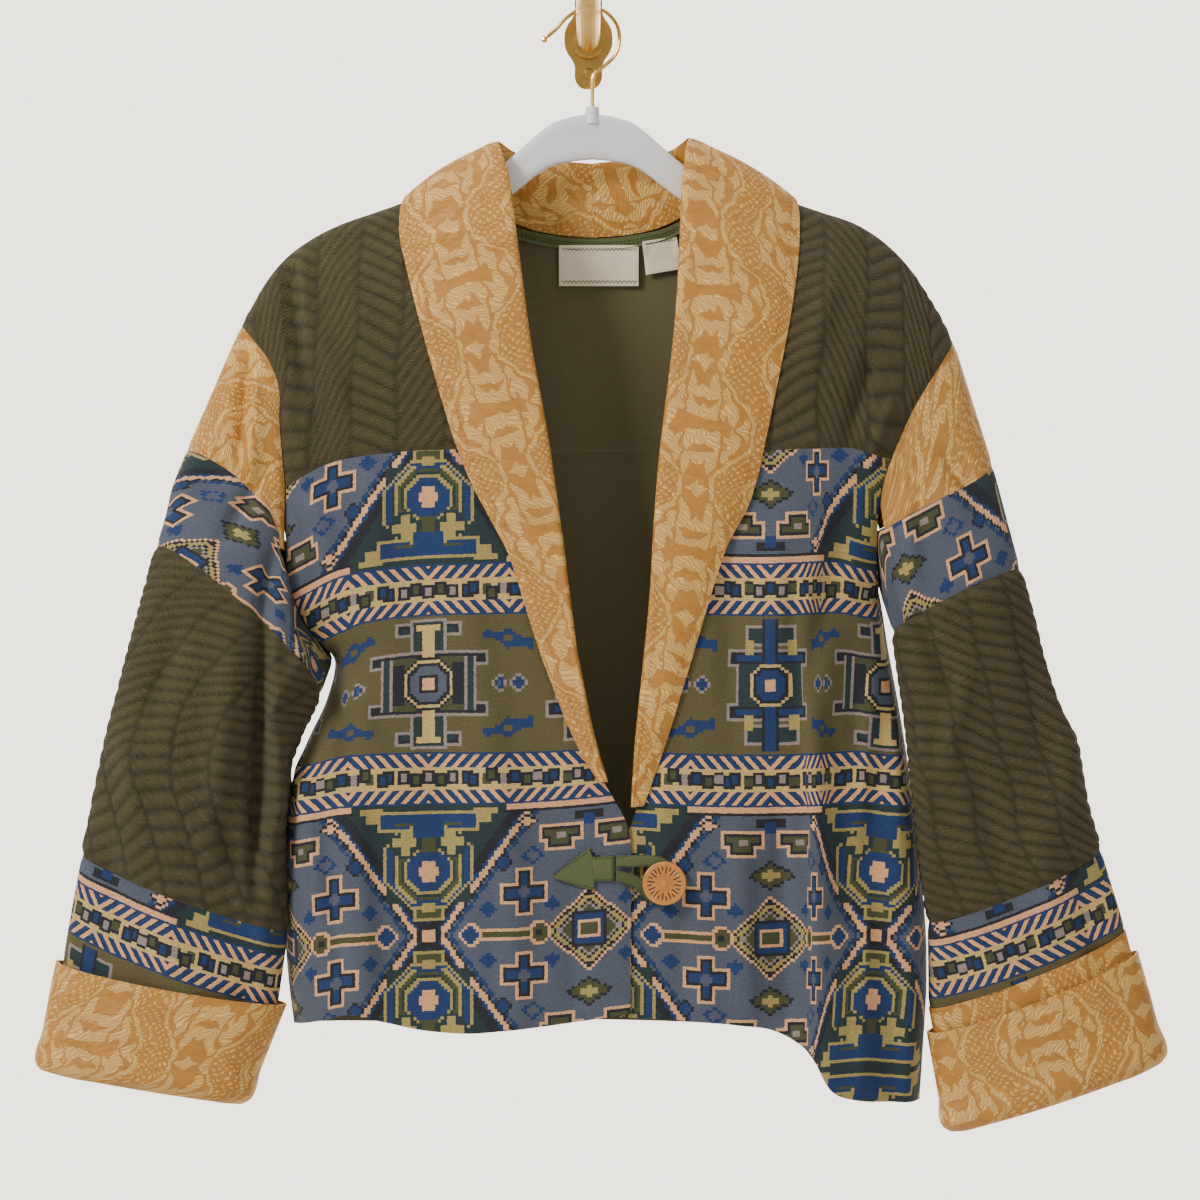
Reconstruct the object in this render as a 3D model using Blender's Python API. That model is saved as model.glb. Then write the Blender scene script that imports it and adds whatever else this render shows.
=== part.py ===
"""Shawl collar jacket on a hanger, hanging from a brass wall hook.

World frame: +X to the viewer's right, +Z up, the front faces -Y. The origin is the centre
of the wall plate's back face. The tables are in millimetres, and MM turns them into metres.
"Right" and "left" in names are the wearer's, so the right side lies at -X.
"""

import math

import bmesh
import bpy
import numpy as np
from mathutils import Vector
from mathutils.bvhtree import BVHTree

MM = 0.001

# Cloth
WALL = 2.0
COLLAR_WALL = 1.6
TAPE_WALL = 1.0
SEAM_GAP = 0.3
SPLIT_AXIS = np.array([0.31, 0.17, 1.0])  # ranks points where a cut edge is split
SHARED_NORMAL_LIMIT = 0.5  # cosine between the shared and the own normal
HANG_PLANE_Y = -42.0  # the hanger, the shoulder ridge and the side seams
FRONT_DEPTH = 46.0  # from the hang plane to the front panels
BACK_DEPTH = 28.0
RIDGE_ROUND = 110.0  # drop over which the shoulder falls away from the ridge
RIDGE_POWER = 0.7
SIDE_ROUND = 70.0
UNDERLAP = 3.8  # how far the left front lies behind the right one
UNDERLAP_REACH = (34.0, 70.0)
UNDERLAP_TOP = -560.0
UNDERLAP_DROP = 60.0
FOLD_FADE = 12.0  # how sharply a fold runs out at its ends
FOLD_INSET = 30.0  # folds run out over this distance from a panel's border

# Outlines seen from the front, as (x, z)
RIDGE_RIGHT = [
    (-282, -238), (-275, -224), (-258, -196), (-238, -176), (-206, -157), (-150, -137), (-100, -115),
]
RIDGE_LEFT = [(297, -252), (283, -224), (256, -184), (220, -156), (168, -138), (107, -112)]
ARMHOLE_RIGHT_HIGH = [(-282, -238), (-262, -261), (-250, -284), (-248, -318), (-243, -370)]
ARMHOLE_RIGHT_LOW = [(-243, -370), (-243, -416), (-240, -449), (-230, -476), (-207, -509)]
ARMHOLE_LEFT_HIGH = [(297, -252), (279, -279), (260, -310), (243, -348)]
ARMHOLE_LEFT_LOW = [(243, -348), (235, -374), (233, -404), (233, -430), (237, -455)]
SIDE_RIGHT = [
    (-207, -509), (-213, -540), (-229, -575), (-246, -625), (-249, -693), (-245, -762), (-240, -804),
]
SIDE_LEFT = [(237, -455), (243, -492), (252, -540), (263, -610), (270, -672), (276, -756), (270, -866)]
YOKE_SEAM_RIGHT = [(-243, -370), (-226, -360), (-201, -349), (-151, -342), (-106, -340), (-39, -338)]
YOKE_SEAM_LEFT = [(243, -348), (228, -344), (211, -339), (142, -340), (66, -338)]
NECKLINE_RIGHT_HIGH = [(-100, -115), (-82, -145), (-68, -185), (-54, -252), (-39, -338)]
NECKLINE_RIGHT_LOW = [(-39, -338), (-27, -421), (-17, -501), (-3, -573), (14, -609)]
NECKLINE_LEFT_HIGH = [(107, -112), (95, -145), (86, -185), (79, -235), (66, -338)]
NECKLINE_LEFT_LOW = [(66, -338), (62, -381), (57, -461), (46, -573), (38, -630)]
FRONT_EDGE_RIGHT = [(14, -609), (20, -620), (34, -651), (34, -701), (34, -792)]
FRONT_EDGE_LEFT = [(38, -630), (32, -651), (22, -669), (19, -690), (19, -795)]
HEM_RIGHT = [(-240, -804), (-208, -797), (-184, -793), (-156, -801), (-105, -808), (-34, -802), (34, -792)]
HEM_LEFT = [(270, -866), (211, -861), (190, -848), (171, -818), (139, -804), (65, -797), (19, -795)]
BACK_NECKLINE = [
    (-100, -115), (-84, -138), (-62, -154), (-31, -162), (3, -165),
    (38, -162), (69, -154), (91, -138), (107, -112),
]
BACK_YOKE_SEAM = [(-243, -370), (-150, -345), (3, -340), (150, -340), (243, -348)]
BACK_HEM = [(-240, -804), (-120, -806), (3, -804), (150, -812), (220, -845), (270, -866)]

# Collar: outer edge as (x, z) down each front, and round the back to the centre seam
COLLAR_EDGE_RIGHT = [
    (-146, -138), (-151, -152), (-151, -172), (-131, -252), (-107, -333),
    (-87, -381), (-65, -421), (-39, -501), (-11, -573), (10, -609),
]
COLLAR_EDGE_LEFT = [
    (165, -139), (169, -152), (170, -172), (163, -228), (142, -333),
    (130, -381), (110, -421), (85, -501), (63, -573), (43, -630),
]
COLLAR_BACK_EDGE_RIGHT = [
    (-146, -138), (-148, -150), (-143, -166), (-123, -182), (-89, -191), (-44, -196), (3, -197),
]
COLLAR_BACK_EDGE_LEFT = [
    (165, -139), (162, -152), (154, -168), (133, -184), (96, -192), (50, -196), (3, -197),
]
COLLAR_ROLL_RIGHT = [(-72, -89), (-62, -95), (-40, -101), (3, -104)]
COLLAR_ROLL_LEFT = [(80, -87), (68, -94), (46, -100), (3, -104)]
FRONT_ROLL_RIGHT = [
    (-72, -89), (-64, -120), (-62, -140), (-57, -172), (-46, -252),
    (-31, -338), (-19, -421), (-9, -501), (5, -573), (17, -609),
]
FRONT_ROLL_LEFT = [
    (80, -87), (76, -120), (75, -144), (74, -172), (70, -235),
    (58, -338), (54, -381), (49, -461), (38, -573), (34, -630),
]
COLLAR_BACK_SEAM = (0.06, 0.15, 0.27, 0.42, 0.6, 0.8, 1)
COLLAR_BACK_EDGE = (0.05, 0.12, 0.22, 0.36, 0.55, 0.78, 1)
STAND_HEIGHT_AT_SHOULDER = 25.0
STAND_DROP = 85.0  # over which the stand's height runs out down the front
FALL_CLEARANCE = 2.4  # from the panel to the middle of the collar's fall
RIDGE_CLEARANCE = 5.0
FALL_BULGE = 4.0
BACK_FALL_BULGE = 1.0
RIDGE_REACH = 30.0  # drop over which the collar turns from the ridge to a panel
FALL_SHARES = (0.2, 0.45, 0.72, 1.0)
ROLL_TURN = 2.3  # half the distance between the collar's two layers at its roll
SHOULDER_TURN = (0.6, 0.8)  # the collar's direction off the cloth over the shoulder, out and up
STAND_MIDDLE = 0.55
POINT_SHARE = 0.12  # how much the collar's point is drawn up towards its next section
CENTRE_X = 3.0  # centre back

# Places of the grid lines, as fractions of each outline's length
YOKE_ROWS = (0, 0.035, 0.12, 0.26, 0.44, 0.63, 0.82, 1)
ARMHOLE_ROWS = (0, 0.17, 0.34, 0.55, 0.75, 0.91, 1)
SIDE_ROWS = tuple(i / 9 for i in range(10))
NECK_ROWS_LOW = tuple(i / 10 for i in range(11))
EDGE_ROWS = tuple(i / 5 for i in range(6))
ACROSS = (0, 0.035, 0.1, 0.18, 0.28, 0.4, 0.52, 0.64, 0.76, 0.88, 1)
CAP_ROW = 9  # the row of the armhole where the gold cap ends
CAP_END_SHARE = 0.55  # how far the cap's lower seam has left the armhole's depth for the band's

# Armhole tube, half depths to the front and to the back of the hang plane
ARMHOLE_FRONT = 37.0
ARMHOLE_BACK = 25.0

# Sleeve rings: outer edge, inner edge, middle y, half depth, bow of the front seam
RING_COLUMNS = ("outer_x", "outer_z", "inner_x", "inner_z", "middle_y", "half_depth", "bow")
SLEEVE_RIGHT = {
    "band": (-348, -418, -215, -536, -70, 27, 14),
    "upper": (-373, -512, -232, -572, -68, 27, 6),
    "elbow": (-388, -570, -247, -616, -65, 27, 0),
    "lower": (-399, -620, -246, -672, -63, 27, 0),
    "border": (-409, -666, -242, -727, -60, 26, -6),
    "cuff": (-424, -753, -249, -785, -60, 25, -4),
    "end": (-440, -836, -280, -863, -60, 24, 0),
}
SLEEVE_LEFT = {
    "band": (348, -436, 245, -486, -70, 27, 6),
    "upper": (371, -518, 255, -556, -68, 27, 2),
    "elbow": (397, -600, 262, -618, -65, 27, 0),
    "lower": (404, -630, 267, -668, -63, 27, 0),
    "border": (414, -662, 274, -720, -60, 26, -7),
    "cuff": (438, -745, 279, -808, -60, 25, -6),
    "end": (461, -829, 293, -885, -60, 24, -3),
}
CAP_SEAM_RIGHT = [(-324, -339), (-294, -353), (-268, -374), (-253, -389), (-246, -418)]
CAP_SEAM_LEFT = [(327, -352), (314, -363), (273, -384), (237, -404)]
CUFF_LAYER = 4.6  # from the sleeve's surface to the turned-back layer
BORDER_UNDER_CUFF = {"right": 9.0, "left": -19.0}  # how far the border reaches below the cuff's top

# Folds of the panels, each a soft ridge (or trough, below 0) along a line:
# x0, z0, x1, z1, width, height
BODY_FOLDS = [
    (176, -500, 190, -870, 15, 11),
    (212, -470, 240, -870, 17, -9),
    (140, -560, 150, -810, 16, -6),
    (-232, -530, -200, -800, 18, 7),
    (-170, -560, -150, -810, 20, -6),
    (-90, -600, -84, -812, 22, 5),
    (-262, -240, -222, -330, 9, -6),
    (100, -640, 96, -800, 20, 5),
]
BACK_FOLDS = [(-150, -480, -170, -812, 26, 4), (20, -420, 10, -812, 34, 4), (170, -480, 195, -860, 26, 4)]
SLEEVE_FOLDS = [
    (-252, -470, -272, -690, 13, -8),
    (-276, -290, -286, -380, 10, -6),
    (-360, -560, -330, -650, 20, 4),
    (330, -520, 350, -680, 22, -5),
    (268, -360, 296, -330, 12, -4),
]

# Closure
BUTTON_CENTRE = (61.0, -687.0)
BUTTON_RADIUS = 17.5
BUTTON_THICK = 5.0
SHANK_RADIUS = 3.0
TAB_OUTLINE = [(-30, -683), (1, -658), (4, -666), (22, -665), (22, -686), (5, -686), (5, -694)]
TAB_MIDDLE = [(-14, -670), (-10, -688), (-10, -678), (12, -676)]
TAB_THICK = 1.8
LOOP_PATH = [
    (22.5, -670.2), (46, -669), (61, -672), (71, -680), (71, -693),
    (61, -700), (50, -697), (40, -687), (22.5, -681.2),
]
LOOP_WIDTH = 9.6
LOOP_THICK = 1.6

# Labels and tape inside the back, as (x, z) corners
NECK_TAPE_WIDTH = 9.0
MAIN_LABEL = [(-24, -171), (41, -171), (41, -204), (-24, -204)]
CARE_LABEL = [(44, -168), (72, -164), (76, -190), (47, -195)]

# Hanger: distance from its centre, height of its top and bottom, half thickness
HANGER_X = 3.4
HANGER_RIGHT = [
    (0, -66, -103, 5), (18, -68.5, -105, 5), (38, -77, -111, 5), (72, -106, -136, 4.5),
    (106, -130, -154, 4), (154, -149, -166, 3.5), (200, -166, -178, 3), (212, -173, -179, 2),
]
HANGER_SOCKET = (5.6, -60.0, -72.0)  # stub radius, top, bottom
SOCKET_DEPTH = 9.0
WIRE_RADIUS = 1.6
HOOK_PATH = [
    (3.4, -66), (3.4, -46), (4.5, -34), (13, -27), (22, -18), (25.5, -6), (23, 7),
    (14, 17), (2, 21), (-9, 18), (-19, 11), (-26, 3), (-33, -3),
]
HOOK_BALL_RADIUS = 2.8

# Wall hook
PLATE_THICK = 5.0
PLATE_HALF = [
    (-41, 3), (-40, 6.2), (-36, 9.9), (-30, 11.4), (-23, 11.2), (-17, 13.5), (-12, 17), (-6, 19.4), (0, 19.9),
]
PEG_ANGLE = math.radians(20)
PEG_RADIUS = 9.8
PEG_LENGTH = 100.0
PEG_BASE_Z = -3.6
BOSS_RADIUS = 13.0
BOSS_THICK = 8.0
SCREW_RADIUS = 4.2
SCREW_Z = 28.0

COLOURS = {
    "matelasse": ((0.092, 0.082, 0.042), 0.9, 0.0),
    "kilim": ((0.10, 0.13, 0.20), 0.85, 0.0),
    "damask": ((0.58, 0.31, 0.10), 0.55, 0.0),
    "twill": ((0.14, 0.17, 0.07), 0.85, 0.0),
    "label_cloth": ((0.85, 0.79, 0.64), 0.8, 0.0),
    "hanger_plastic": ((0.85, 0.87, 0.9), 0.35, 0.0),
    "brass": ((0.58, 0.38, 0.13), 0.28, 1.0),
    "button_wood": ((0.74, 0.37, 0.10), 0.4, 0.0),
}


def clear_scene():
    for old in list(bpy.data.objects):
        bpy.data.objects.remove(old)


def material(slot):
    """One Principled material for each object, coloured by its slot."""
    colour, roughness, metallic = COLOURS[slot]
    made = bpy.data.materials.new(slot)
    made.use_nodes = True
    shader = made.node_tree.nodes["Principled BSDF"]
    shader.inputs["Base Color"].default_value = (*colour, 1)
    shader.inputs["Roughness"].default_value = roughness
    shader.inputs["Metallic"].default_value = metallic
    return made


def make_object(name, slot, points, faces, smooth=True):
    """A mesh object from points in millimetres."""
    mesh = bpy.data.meshes.new(name)
    mesh.from_pydata([tuple(float(c) * MM for c in p) for p in points], [], faces)
    mesh.validate()
    body = bmesh.new()
    body.from_mesh(mesh)
    bmesh.ops.recalc_face_normals(body, faces=body.faces)
    body.to_mesh(mesh)
    body.free()
    if smooth:
        mesh.shade_smooth()
        mesh.set_sharp_from_angle(angle=math.radians(50))
    made = bpy.data.objects.new(name, mesh)
    bpy.context.collection.objects.link(made)
    mesh.materials.append(material(slot))
    return made


# Curves


def smooth_curve(points, steps=24):
    """A fine polyline through the points (uniform Catmull-Rom)."""
    pts = np.array(points, float)
    padded = np.vstack([2 * pts[0] - pts[1], pts, 2 * pts[-1] - pts[-2]])
    fine = []
    for i in range(1, len(padded) - 2):
        a, b, c, d = padded[i - 1 : i + 3]
        for t in np.linspace(0, 1, steps, endpoint=False):
            square = (2 * a - 5 * b + 4 * c - d) * t**2
            cube = (3 * b - a - 3 * c + d) * t**3
            fine.append(0.5 * (2 * b + (c - a) * t + square + cube))
    fine.append(pts[-1])
    return np.array(fine)


def at_fractions(points, fractions, smooth=True):
    """Points at fractions of the curve's length."""
    fine = smooth_curve(points) if smooth else np.array(points, float)
    length = np.concatenate([[0], np.cumsum(np.linalg.norm(np.diff(fine, axis=0), axis=1))])
    wanted = np.array(fractions) * length[-1]
    return np.stack([np.interp(wanted, length, fine[:, k]) for k in range(fine.shape[1])], axis=1)


def coons(top, bottom, left, right, across, down):
    """A patch between four outlines, as rows of (x, z)."""
    rows = []
    for j, v in enumerate(down):
        row = []
        for i, u in enumerate(across):
            ruled = (1 - v) * top[i] + v * bottom[i] + (1 - u) * left[j] + u * right[j]
            corner = (1 - v) * ((1 - u) * top[0] + u * top[-1]) + v * ((1 - u) * bottom[0] + u * bottom[-1])
            row.append(ruled - corner)
        rows.append(row)
    return np.array(rows)


def quarter(distance, reach):
    """0 at an edge, rising to 1 as a quarter ellipse does, squared."""
    t = np.clip(distance / reach, 0, 1)
    return 1 - (1 - t) ** 2


def ridge_profile(drop):
    """Share of a panel's depth at a drop below the shoulder ridge."""
    return math.sin(math.pi / 2 * min(max(drop / RIDGE_ROUND, 0), 1)) ** RIDGE_POWER


def armhole_depth(rows, full):
    """Half depth of the armhole tube from the shoulder tip (0) to the underarm (1)."""
    t = np.abs(2 * np.array(rows) - 1)
    return full * np.sqrt(np.clip(1 - t**2.4, 0, 1))


def relief(x, z, folds):
    """Height of the folds at a point."""
    total = 0.0
    for x0, z0, x1, z1, width, height in folds:
        along = np.array([x1 - x0, z1 - z0], float)
        t = ((x - x0) * along[0] + (z - z0) * along[1]) / (along @ along)
        across = ((x - x0) * along[1] - (z - z0) * along[0]) / math.sqrt(along @ along)
        window = 1 / (1 + math.exp(-FOLD_FADE * t)) / (1 + math.exp(FOLD_FADE * (t - 1.05)))
        total += height * math.exp(-((across / width) ** 2)) * window
    return total


def smoothstep(t):
    t = min(max(t, 0.0), 1.0)
    return t * t * (3 - 2 * t)


# The body's panels, as grids of points


def side_fractions():
    """Share of the armhole's length at each row from the shoulder tip to the underarm."""
    high = [0.48 * f for f in YOKE_ROWS]
    low = [0.48 + 0.52 * f for f in ARMHOLE_ROWS[1:]]
    return high + low


def body_grid(outline, side, depth, armhole, facing, folds, underlap=False):
    """Outer points of one half or whole panel. facing is -1 for a front and 1 for a back."""
    rows, columns = outline.shape[:2]
    drop = outline[0, :, 1][None, :] - outline[:, :, 1]
    if side["first_row"] > 0:
        drop = np.full((rows, columns), RIDGE_ROUND)
    edge_rows = side_fractions()[side["first_row"] :]
    edge = np.zeros(rows)
    count = min(rows, len(edge_rows))
    edge[:count] = armhole_depth(edge_rows[:count], armhole)
    points = np.zeros((rows, columns, 3))
    for j in range(rows):
        for i in range(columns):
            x, z = outline[j, i]
            inset = min(abs(x - outline[j, 0, 0]), abs(x - outline[j, -1, 0]) if facing > 0 else 1e9)
            ceiling = depth * ridge_profile(drop[j, i])
            grown = max(ceiling**2 - edge[j] ** 2, 0.0)
            half = math.sqrt(edge[j] ** 2 + grown * quarter(inset, SIDE_ROUND))
            fade = smoothstep(inset / FOLD_INSET) * smoothstep(drop[j, i] / FOLD_INSET)
            half += relief(x, z, folds) * fade
            y = HANG_PLANE_Y + facing * half
            if underlap:
                low, high = UNDERLAP_REACH
                below = smoothstep((UNDERLAP_TOP - z) / UNDERLAP_DROP)
                y += UNDERLAP * below * (1 - smoothstep((x - low) / (high - low)))
            points[j, i] = (x, y, z)
    return points


def front_panels(ridge, high, low, side_line, seam, neck_high, neck_low, edge, hem, underlap):
    """Yoke and body of one front. Columns run from the armhole to the neckline."""
    yoke = coons(
        at_fractions(ridge, ACROSS),
        at_fractions(seam, ACROSS),
        at_fractions(high, YOKE_ROWS),
        at_fractions(neck_high, YOKE_ROWS),
        ACROSS,
        YOKE_ROWS,
    )
    left = np.vstack([at_fractions(low, ARMHOLE_ROWS), at_fractions(side_line, SIDE_ROWS)[1:]])
    right = np.vstack([at_fractions(neck_low, NECK_ROWS_LOW), at_fractions(edge, EDGE_ROWS)[1:]])
    down = np.linspace(0, 1, len(left))
    body = coons(at_fractions(seam, ACROSS), at_fractions(hem, ACROSS), left, right, ACROSS, down)
    shared = (FRONT_DEPTH, ARMHOLE_FRONT, -1, BODY_FOLDS)
    return (
        body_grid(yoke, {"first_row": 0}, *shared, underlap),
        body_grid(body, {"first_row": len(YOKE_ROWS) - 1}, *shared, underlap),
    )


BACK_NECK_COLUMNS = 8


def back_panels():
    """Yoke and body of the back. Columns run from the right armhole to the left one."""
    neck = at_fractions(BACK_NECKLINE, np.linspace(0, 1, BACK_NECK_COLUMNS + 1))
    top = np.vstack([at_fractions(RIDGE_RIGHT, ACROSS), neck[1:], at_fractions(RIDGE_LEFT, ACROSS)[::-1][1:]])
    span = top[-1, 0] - top[0, 0]
    across = (top[:, 0] - top[0, 0]) / span
    across[len(ACROSS) - 1 : len(ACROSS) + BACK_NECK_COLUMNS] = np.linspace(
        across[len(ACROSS) - 1], across[len(ACROSS) - 1 + BACK_NECK_COLUMNS], BACK_NECK_COLUMNS + 1
    )
    yoke = coons(
        top,
        at_fractions(BACK_YOKE_SEAM, across),
        at_fractions(ARMHOLE_RIGHT_HIGH, YOKE_ROWS),
        at_fractions(ARMHOLE_LEFT_HIGH, YOKE_ROWS),
        across,
        YOKE_ROWS,
    )
    left = np.vstack([at_fractions(ARMHOLE_RIGHT_LOW, ARMHOLE_ROWS), at_fractions(SIDE_RIGHT, SIDE_ROWS)[1:]])
    right = np.vstack([at_fractions(ARMHOLE_LEFT_LOW, ARMHOLE_ROWS), at_fractions(SIDE_LEFT, SIDE_ROWS)[1:]])
    down = np.linspace(0, 1, len(left))
    seam, hem = at_fractions(BACK_YOKE_SEAM, across), at_fractions(BACK_HEM, across)
    body = coons(seam, hem, left, right, across, down)
    yoke_points = body_grid(yoke, {"first_row": 0}, BACK_DEPTH, ARMHOLE_BACK, 1, BACK_FOLDS)
    raise_back_neck(yoke_points, yoke)
    shared = (BACK_DEPTH, ARMHOLE_BACK, 1, BACK_FOLDS)
    return yoke_points, body_grid(body, {"first_row": len(YOKE_ROWS) - 1}, *shared)


def raise_back_neck(points, outline):
    """Measures the drop at the neck's columns from the ridge's height, not from the scooped edge."""
    ridge = BACK_NECKLINE[0][1]
    first = len(ACROSS) - 1
    for i in range(first, first + BACK_NECK_COLUMNS + 1):
        for j in range(len(outline)):
            drop = ridge - outline[j, i, 1]
            points[j, i, 1] = HANG_PLANE_Y + BACK_DEPTH * ridge_profile(drop)


# The sleeves, as rings that start on the armhole


def armhole_ring(front_yoke, front_body, back_yoke, back_body, back_column):
    """The shared seam loop: down the front, then up the back."""
    last = len(ARMHOLE_ROWS) - 1
    front = [*front_yoke[:, 0], *front_body[1 : last + 1, 0]]
    back = [*back_yoke[:, back_column], *back_body[1 : last + 1, back_column]]
    return np.array(front + back[-2:0:-1])


def sleeve_ring(row, count):
    """An oval ring with the same count of points as the armhole."""
    v = dict(zip(RING_COLUMNS, row))
    half = count // 2
    outer = np.array([v["outer_x"], v["outer_z"]], float)
    inner = np.array([v["inner_x"], v["inner_z"]], float)
    chord = inner - outer
    normal = np.array([chord[1], -chord[0]]) / np.linalg.norm(chord)
    if normal[1] < 0:
        normal = -normal
    ring = []
    for j in range(count):
        angle = math.pi * j / half
        t = (1 - math.cos(angle)) / 2
        flat = outer + chord * t
        front = math.sin(angle) > 0
        if front:
            flat = flat + normal * v["bow"] * math.sin(angle)
        y = v["middle_y"] - v["half_depth"] * math.sin(angle)
        height = relief(flat[0], flat[1], SLEEVE_FOLDS) * abs(math.sin(angle)) if front else 0.0
        ring.append((flat[0], y - height, flat[1]))
    return np.array(ring)


def cap_ring(seam, armhole, band):
    """The cap's lower seam, with the armhole's own points below the cap's end."""
    count = len(armhole)
    ring = armhole.copy()
    fractions = np.array(side_fractions())
    shares = fractions[: CAP_ROW + 1] / fractions[CAP_ROW]
    line = at_fractions(seam, shares)
    for j in range(CAP_ROW + 1):
        blend = line[j]
        for index in {j, (count - j) % count}:
            depth = (1 - CAP_END_SHARE) * armhole[index, 1] + CAP_END_SHARE * band[index, 1]
            ring[index] = (blend[0], depth, blend[1])
    return ring


def blend_rings(first, second, steps):
    return [first + (second - first) * t for t in np.linspace(0, 1, steps + 1)]


def sleeve_pieces(side, table, cap_seam, armhole):
    """Grids of one sleeve's five pieces. Rows run down the sleeve, columns round it."""
    count = len(armhole)
    rings = {name: sleeve_ring(row, count) for name, row in table.items()}
    cap_end = cap_ring(cap_seam, armhole, rings["band"])
    around = [(CAP_ROW - k) % count for k in range(2 * CAP_ROW + 1)]
    cap = [ring[around] for ring in blend_rings(armhole, cap_end, 4)]
    band = blend_rings(cap_end, rings["band"], 4)
    lower = [
        rings["band"],
        (rings["band"] + rings["upper"]) / 2,
        rings["upper"],
        rings["elbow"],
        rings["lower"],
        rings["border"],
    ]
    direction = sleeve_direction(table)
    cuff_top = rings["cuff"]
    seam_ring = cuff_top + direction * BORDER_UNDER_CUFF[side]
    border = blend_rings(rings["border"], seam_ring, 4)
    cuff = cuff_rings(seam_ring, cuff_top, rings["end"])
    return {
        "sleeve_cap": (cap, False, "damask"),
        "sleeve_band": (band, True, "kilim"),
        "sleeve_lower": (lower, True, "matelasse"),
        "sleeve_border": (border, True, "kilim"),
        "cuff": (cuff, True, "damask"),
    }


def sleeve_direction(table):
    start = np.array(table["cuff"][:4], float)
    end = np.array(table["end"][:4], float)
    step = (end - start).reshape(2, 2).mean(axis=0)
    step /= np.linalg.norm(step)
    return np.array([step[0], 0.0, step[1]])


def cuff_rings(seam_ring, cuff_top, end):
    """Down the inside, round the fold and up the turned-back layer."""
    middle = end.mean(axis=0)

    def spread(ring, distance):
        centre = ring.mean(axis=0)
        away = ring - centre
        tangent = np.roll(ring, -1, axis=0) - np.roll(ring, 1, axis=0)
        axis = middle - cuff_top.mean(axis=0)
        out = np.cross(tangent, axis / np.linalg.norm(axis))
        out /= np.linalg.norm(out, axis=1)[:, None]
        out *= np.sign((out * away).sum(axis=1))[:, None]
        return ring + out * distance

    outer_end = spread(end, CUFF_LAYER)
    outer_top = spread(cuff_top, CUFF_LAYER)
    inner = blend_rings(seam_ring, end, 3)
    axis = middle - cuff_top.mean(axis=0)
    fold = spread(end, CUFF_LAYER / 2) + axis / np.linalg.norm(axis) * CUFF_LAYER / 2
    outer = blend_rings(outer_end, outer_top, 3)
    return [*inner, fold, *outer]


# Walls from grids


def grid_normals(pieces):
    """Unit normals at every grid point, averaged over all pieces that share the point."""
    total = {}
    keys = {}
    for name, (grid, closed, _) in pieces.items():
        rows, columns = grid.shape[:2]
        key = [[tuple(np.round(grid[j, i], 3)) for i in range(columns)] for j in range(rows)]
        keys[name] = key
        for j in range(rows - 1):
            for i in range(columns if closed else columns - 1):
                k = (i + 1) % columns
                corners = [(j, i), (j, k), (j + 1, k), (j + 1, i)]
                a, b, c, d = (grid[r, s] for r, s in corners)
                normal = np.cross(c - a, d - b)
                for r, s in corners:
                    total[key[r][s]] = total.get(key[r][s], 0) + normal
    normals = {}
    for name, key in keys.items():
        found = np.array([[total[k] for k in row] for row in key])
        normals[name] = found / np.linalg.norm(found, axis=2)[:, :, None]
    return normals


def pull_in(grid, closed, distance):
    """Moves the border of a grid inwards, square to its edge, so that neighbours stay apart."""
    pulled = grid.copy()

    def step(edge, inside, looped):
        along = np.gradient(edge, axis=0)
        if looped:
            along = np.roll(edge, -1, axis=0) - np.roll(edge, 1, axis=0)
        along /= np.linalg.norm(along, axis=1, keepdims=True)
        away = inside - edge
        away = away - (away * along).sum(axis=1, keepdims=True) * along
        return edge + away / np.linalg.norm(away, axis=1, keepdims=True) * distance

    pulled[0] = step(grid[0], grid[1], closed)
    pulled[-1] = step(grid[-1], grid[-2], closed)
    if not closed:
        pulled[:, 0] = step(pulled[:, 0], pulled[:, 1], False)
        pulled[:, -1] = step(pulled[:, -1], pulled[:, -2], False)
    return pulled


def wall_from_layers(name, slot, outer, inner, closed):
    """A closed solid between two grids of the same size."""
    rows, columns = outer.shape[:2]
    points = [*outer.reshape(-1, 3), *inner.reshape(-1, 3)]
    offset = rows * columns
    faces = []

    def edge(a, b):
        """The wall's cut edge from a to b, split the same way as the neighbour's."""
        if points[a] @ SPLIT_AXIS < points[b] @ SPLIT_AXIS:
            a, b = b, a
        faces.append((a, b, offset + b))
        faces.append((a, offset + b, offset + a))

    last = columns if closed else columns - 1
    for j in range(rows - 1):
        for i in range(last):
            k = (i + 1) % columns
            a, b, c, d = j * columns + i, j * columns + k, (j + 1) * columns + k, (j + 1) * columns + i
            faces.append((a, b, c, d))
            faces.append((offset + d, offset + c, offset + b, offset + a))
    for i in range(last):
        k = (i + 1) % columns
        edge(i, k)
        edge((rows - 1) * columns + i, (rows - 1) * columns + k)
    if not closed:
        for j in range(rows - 1):
            edge(j * columns, (j + 1) * columns)
            edge((j + 1) * columns - 1, (j + 2) * columns - 1)
    return make_object(name, slot, points, faces)


def seam_normals(panels, sleeves):
    """Normals shared by panels and sleeves, but each side's own where they face each other."""
    shared = grid_normals({**panels, **sleeves})
    own = {**grid_normals(panels), **grid_normals(sleeves)}
    for name, found in shared.items():
        facing = (found * own[name]).sum(axis=2)
        found[facing < SHARED_NORMAL_LIMIT] = own[name][facing < SHARED_NORMAL_LIMIT]
    return shared


def cloth_walls(panels, sleeves):
    """Every panel and sleeve piece, its outer side on its grid."""
    normals = seam_normals(panels, sleeves)
    pieces = {**panels, **sleeves}
    for name, (grid, closed, slot) in pieces.items():
        outer = pull_in(grid, closed, SEAM_GAP / 2)
        inner = outer - normals[name] * WALL
        wall_from_layers(name, slot, outer, inner, closed)


# What lies on the panels


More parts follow.
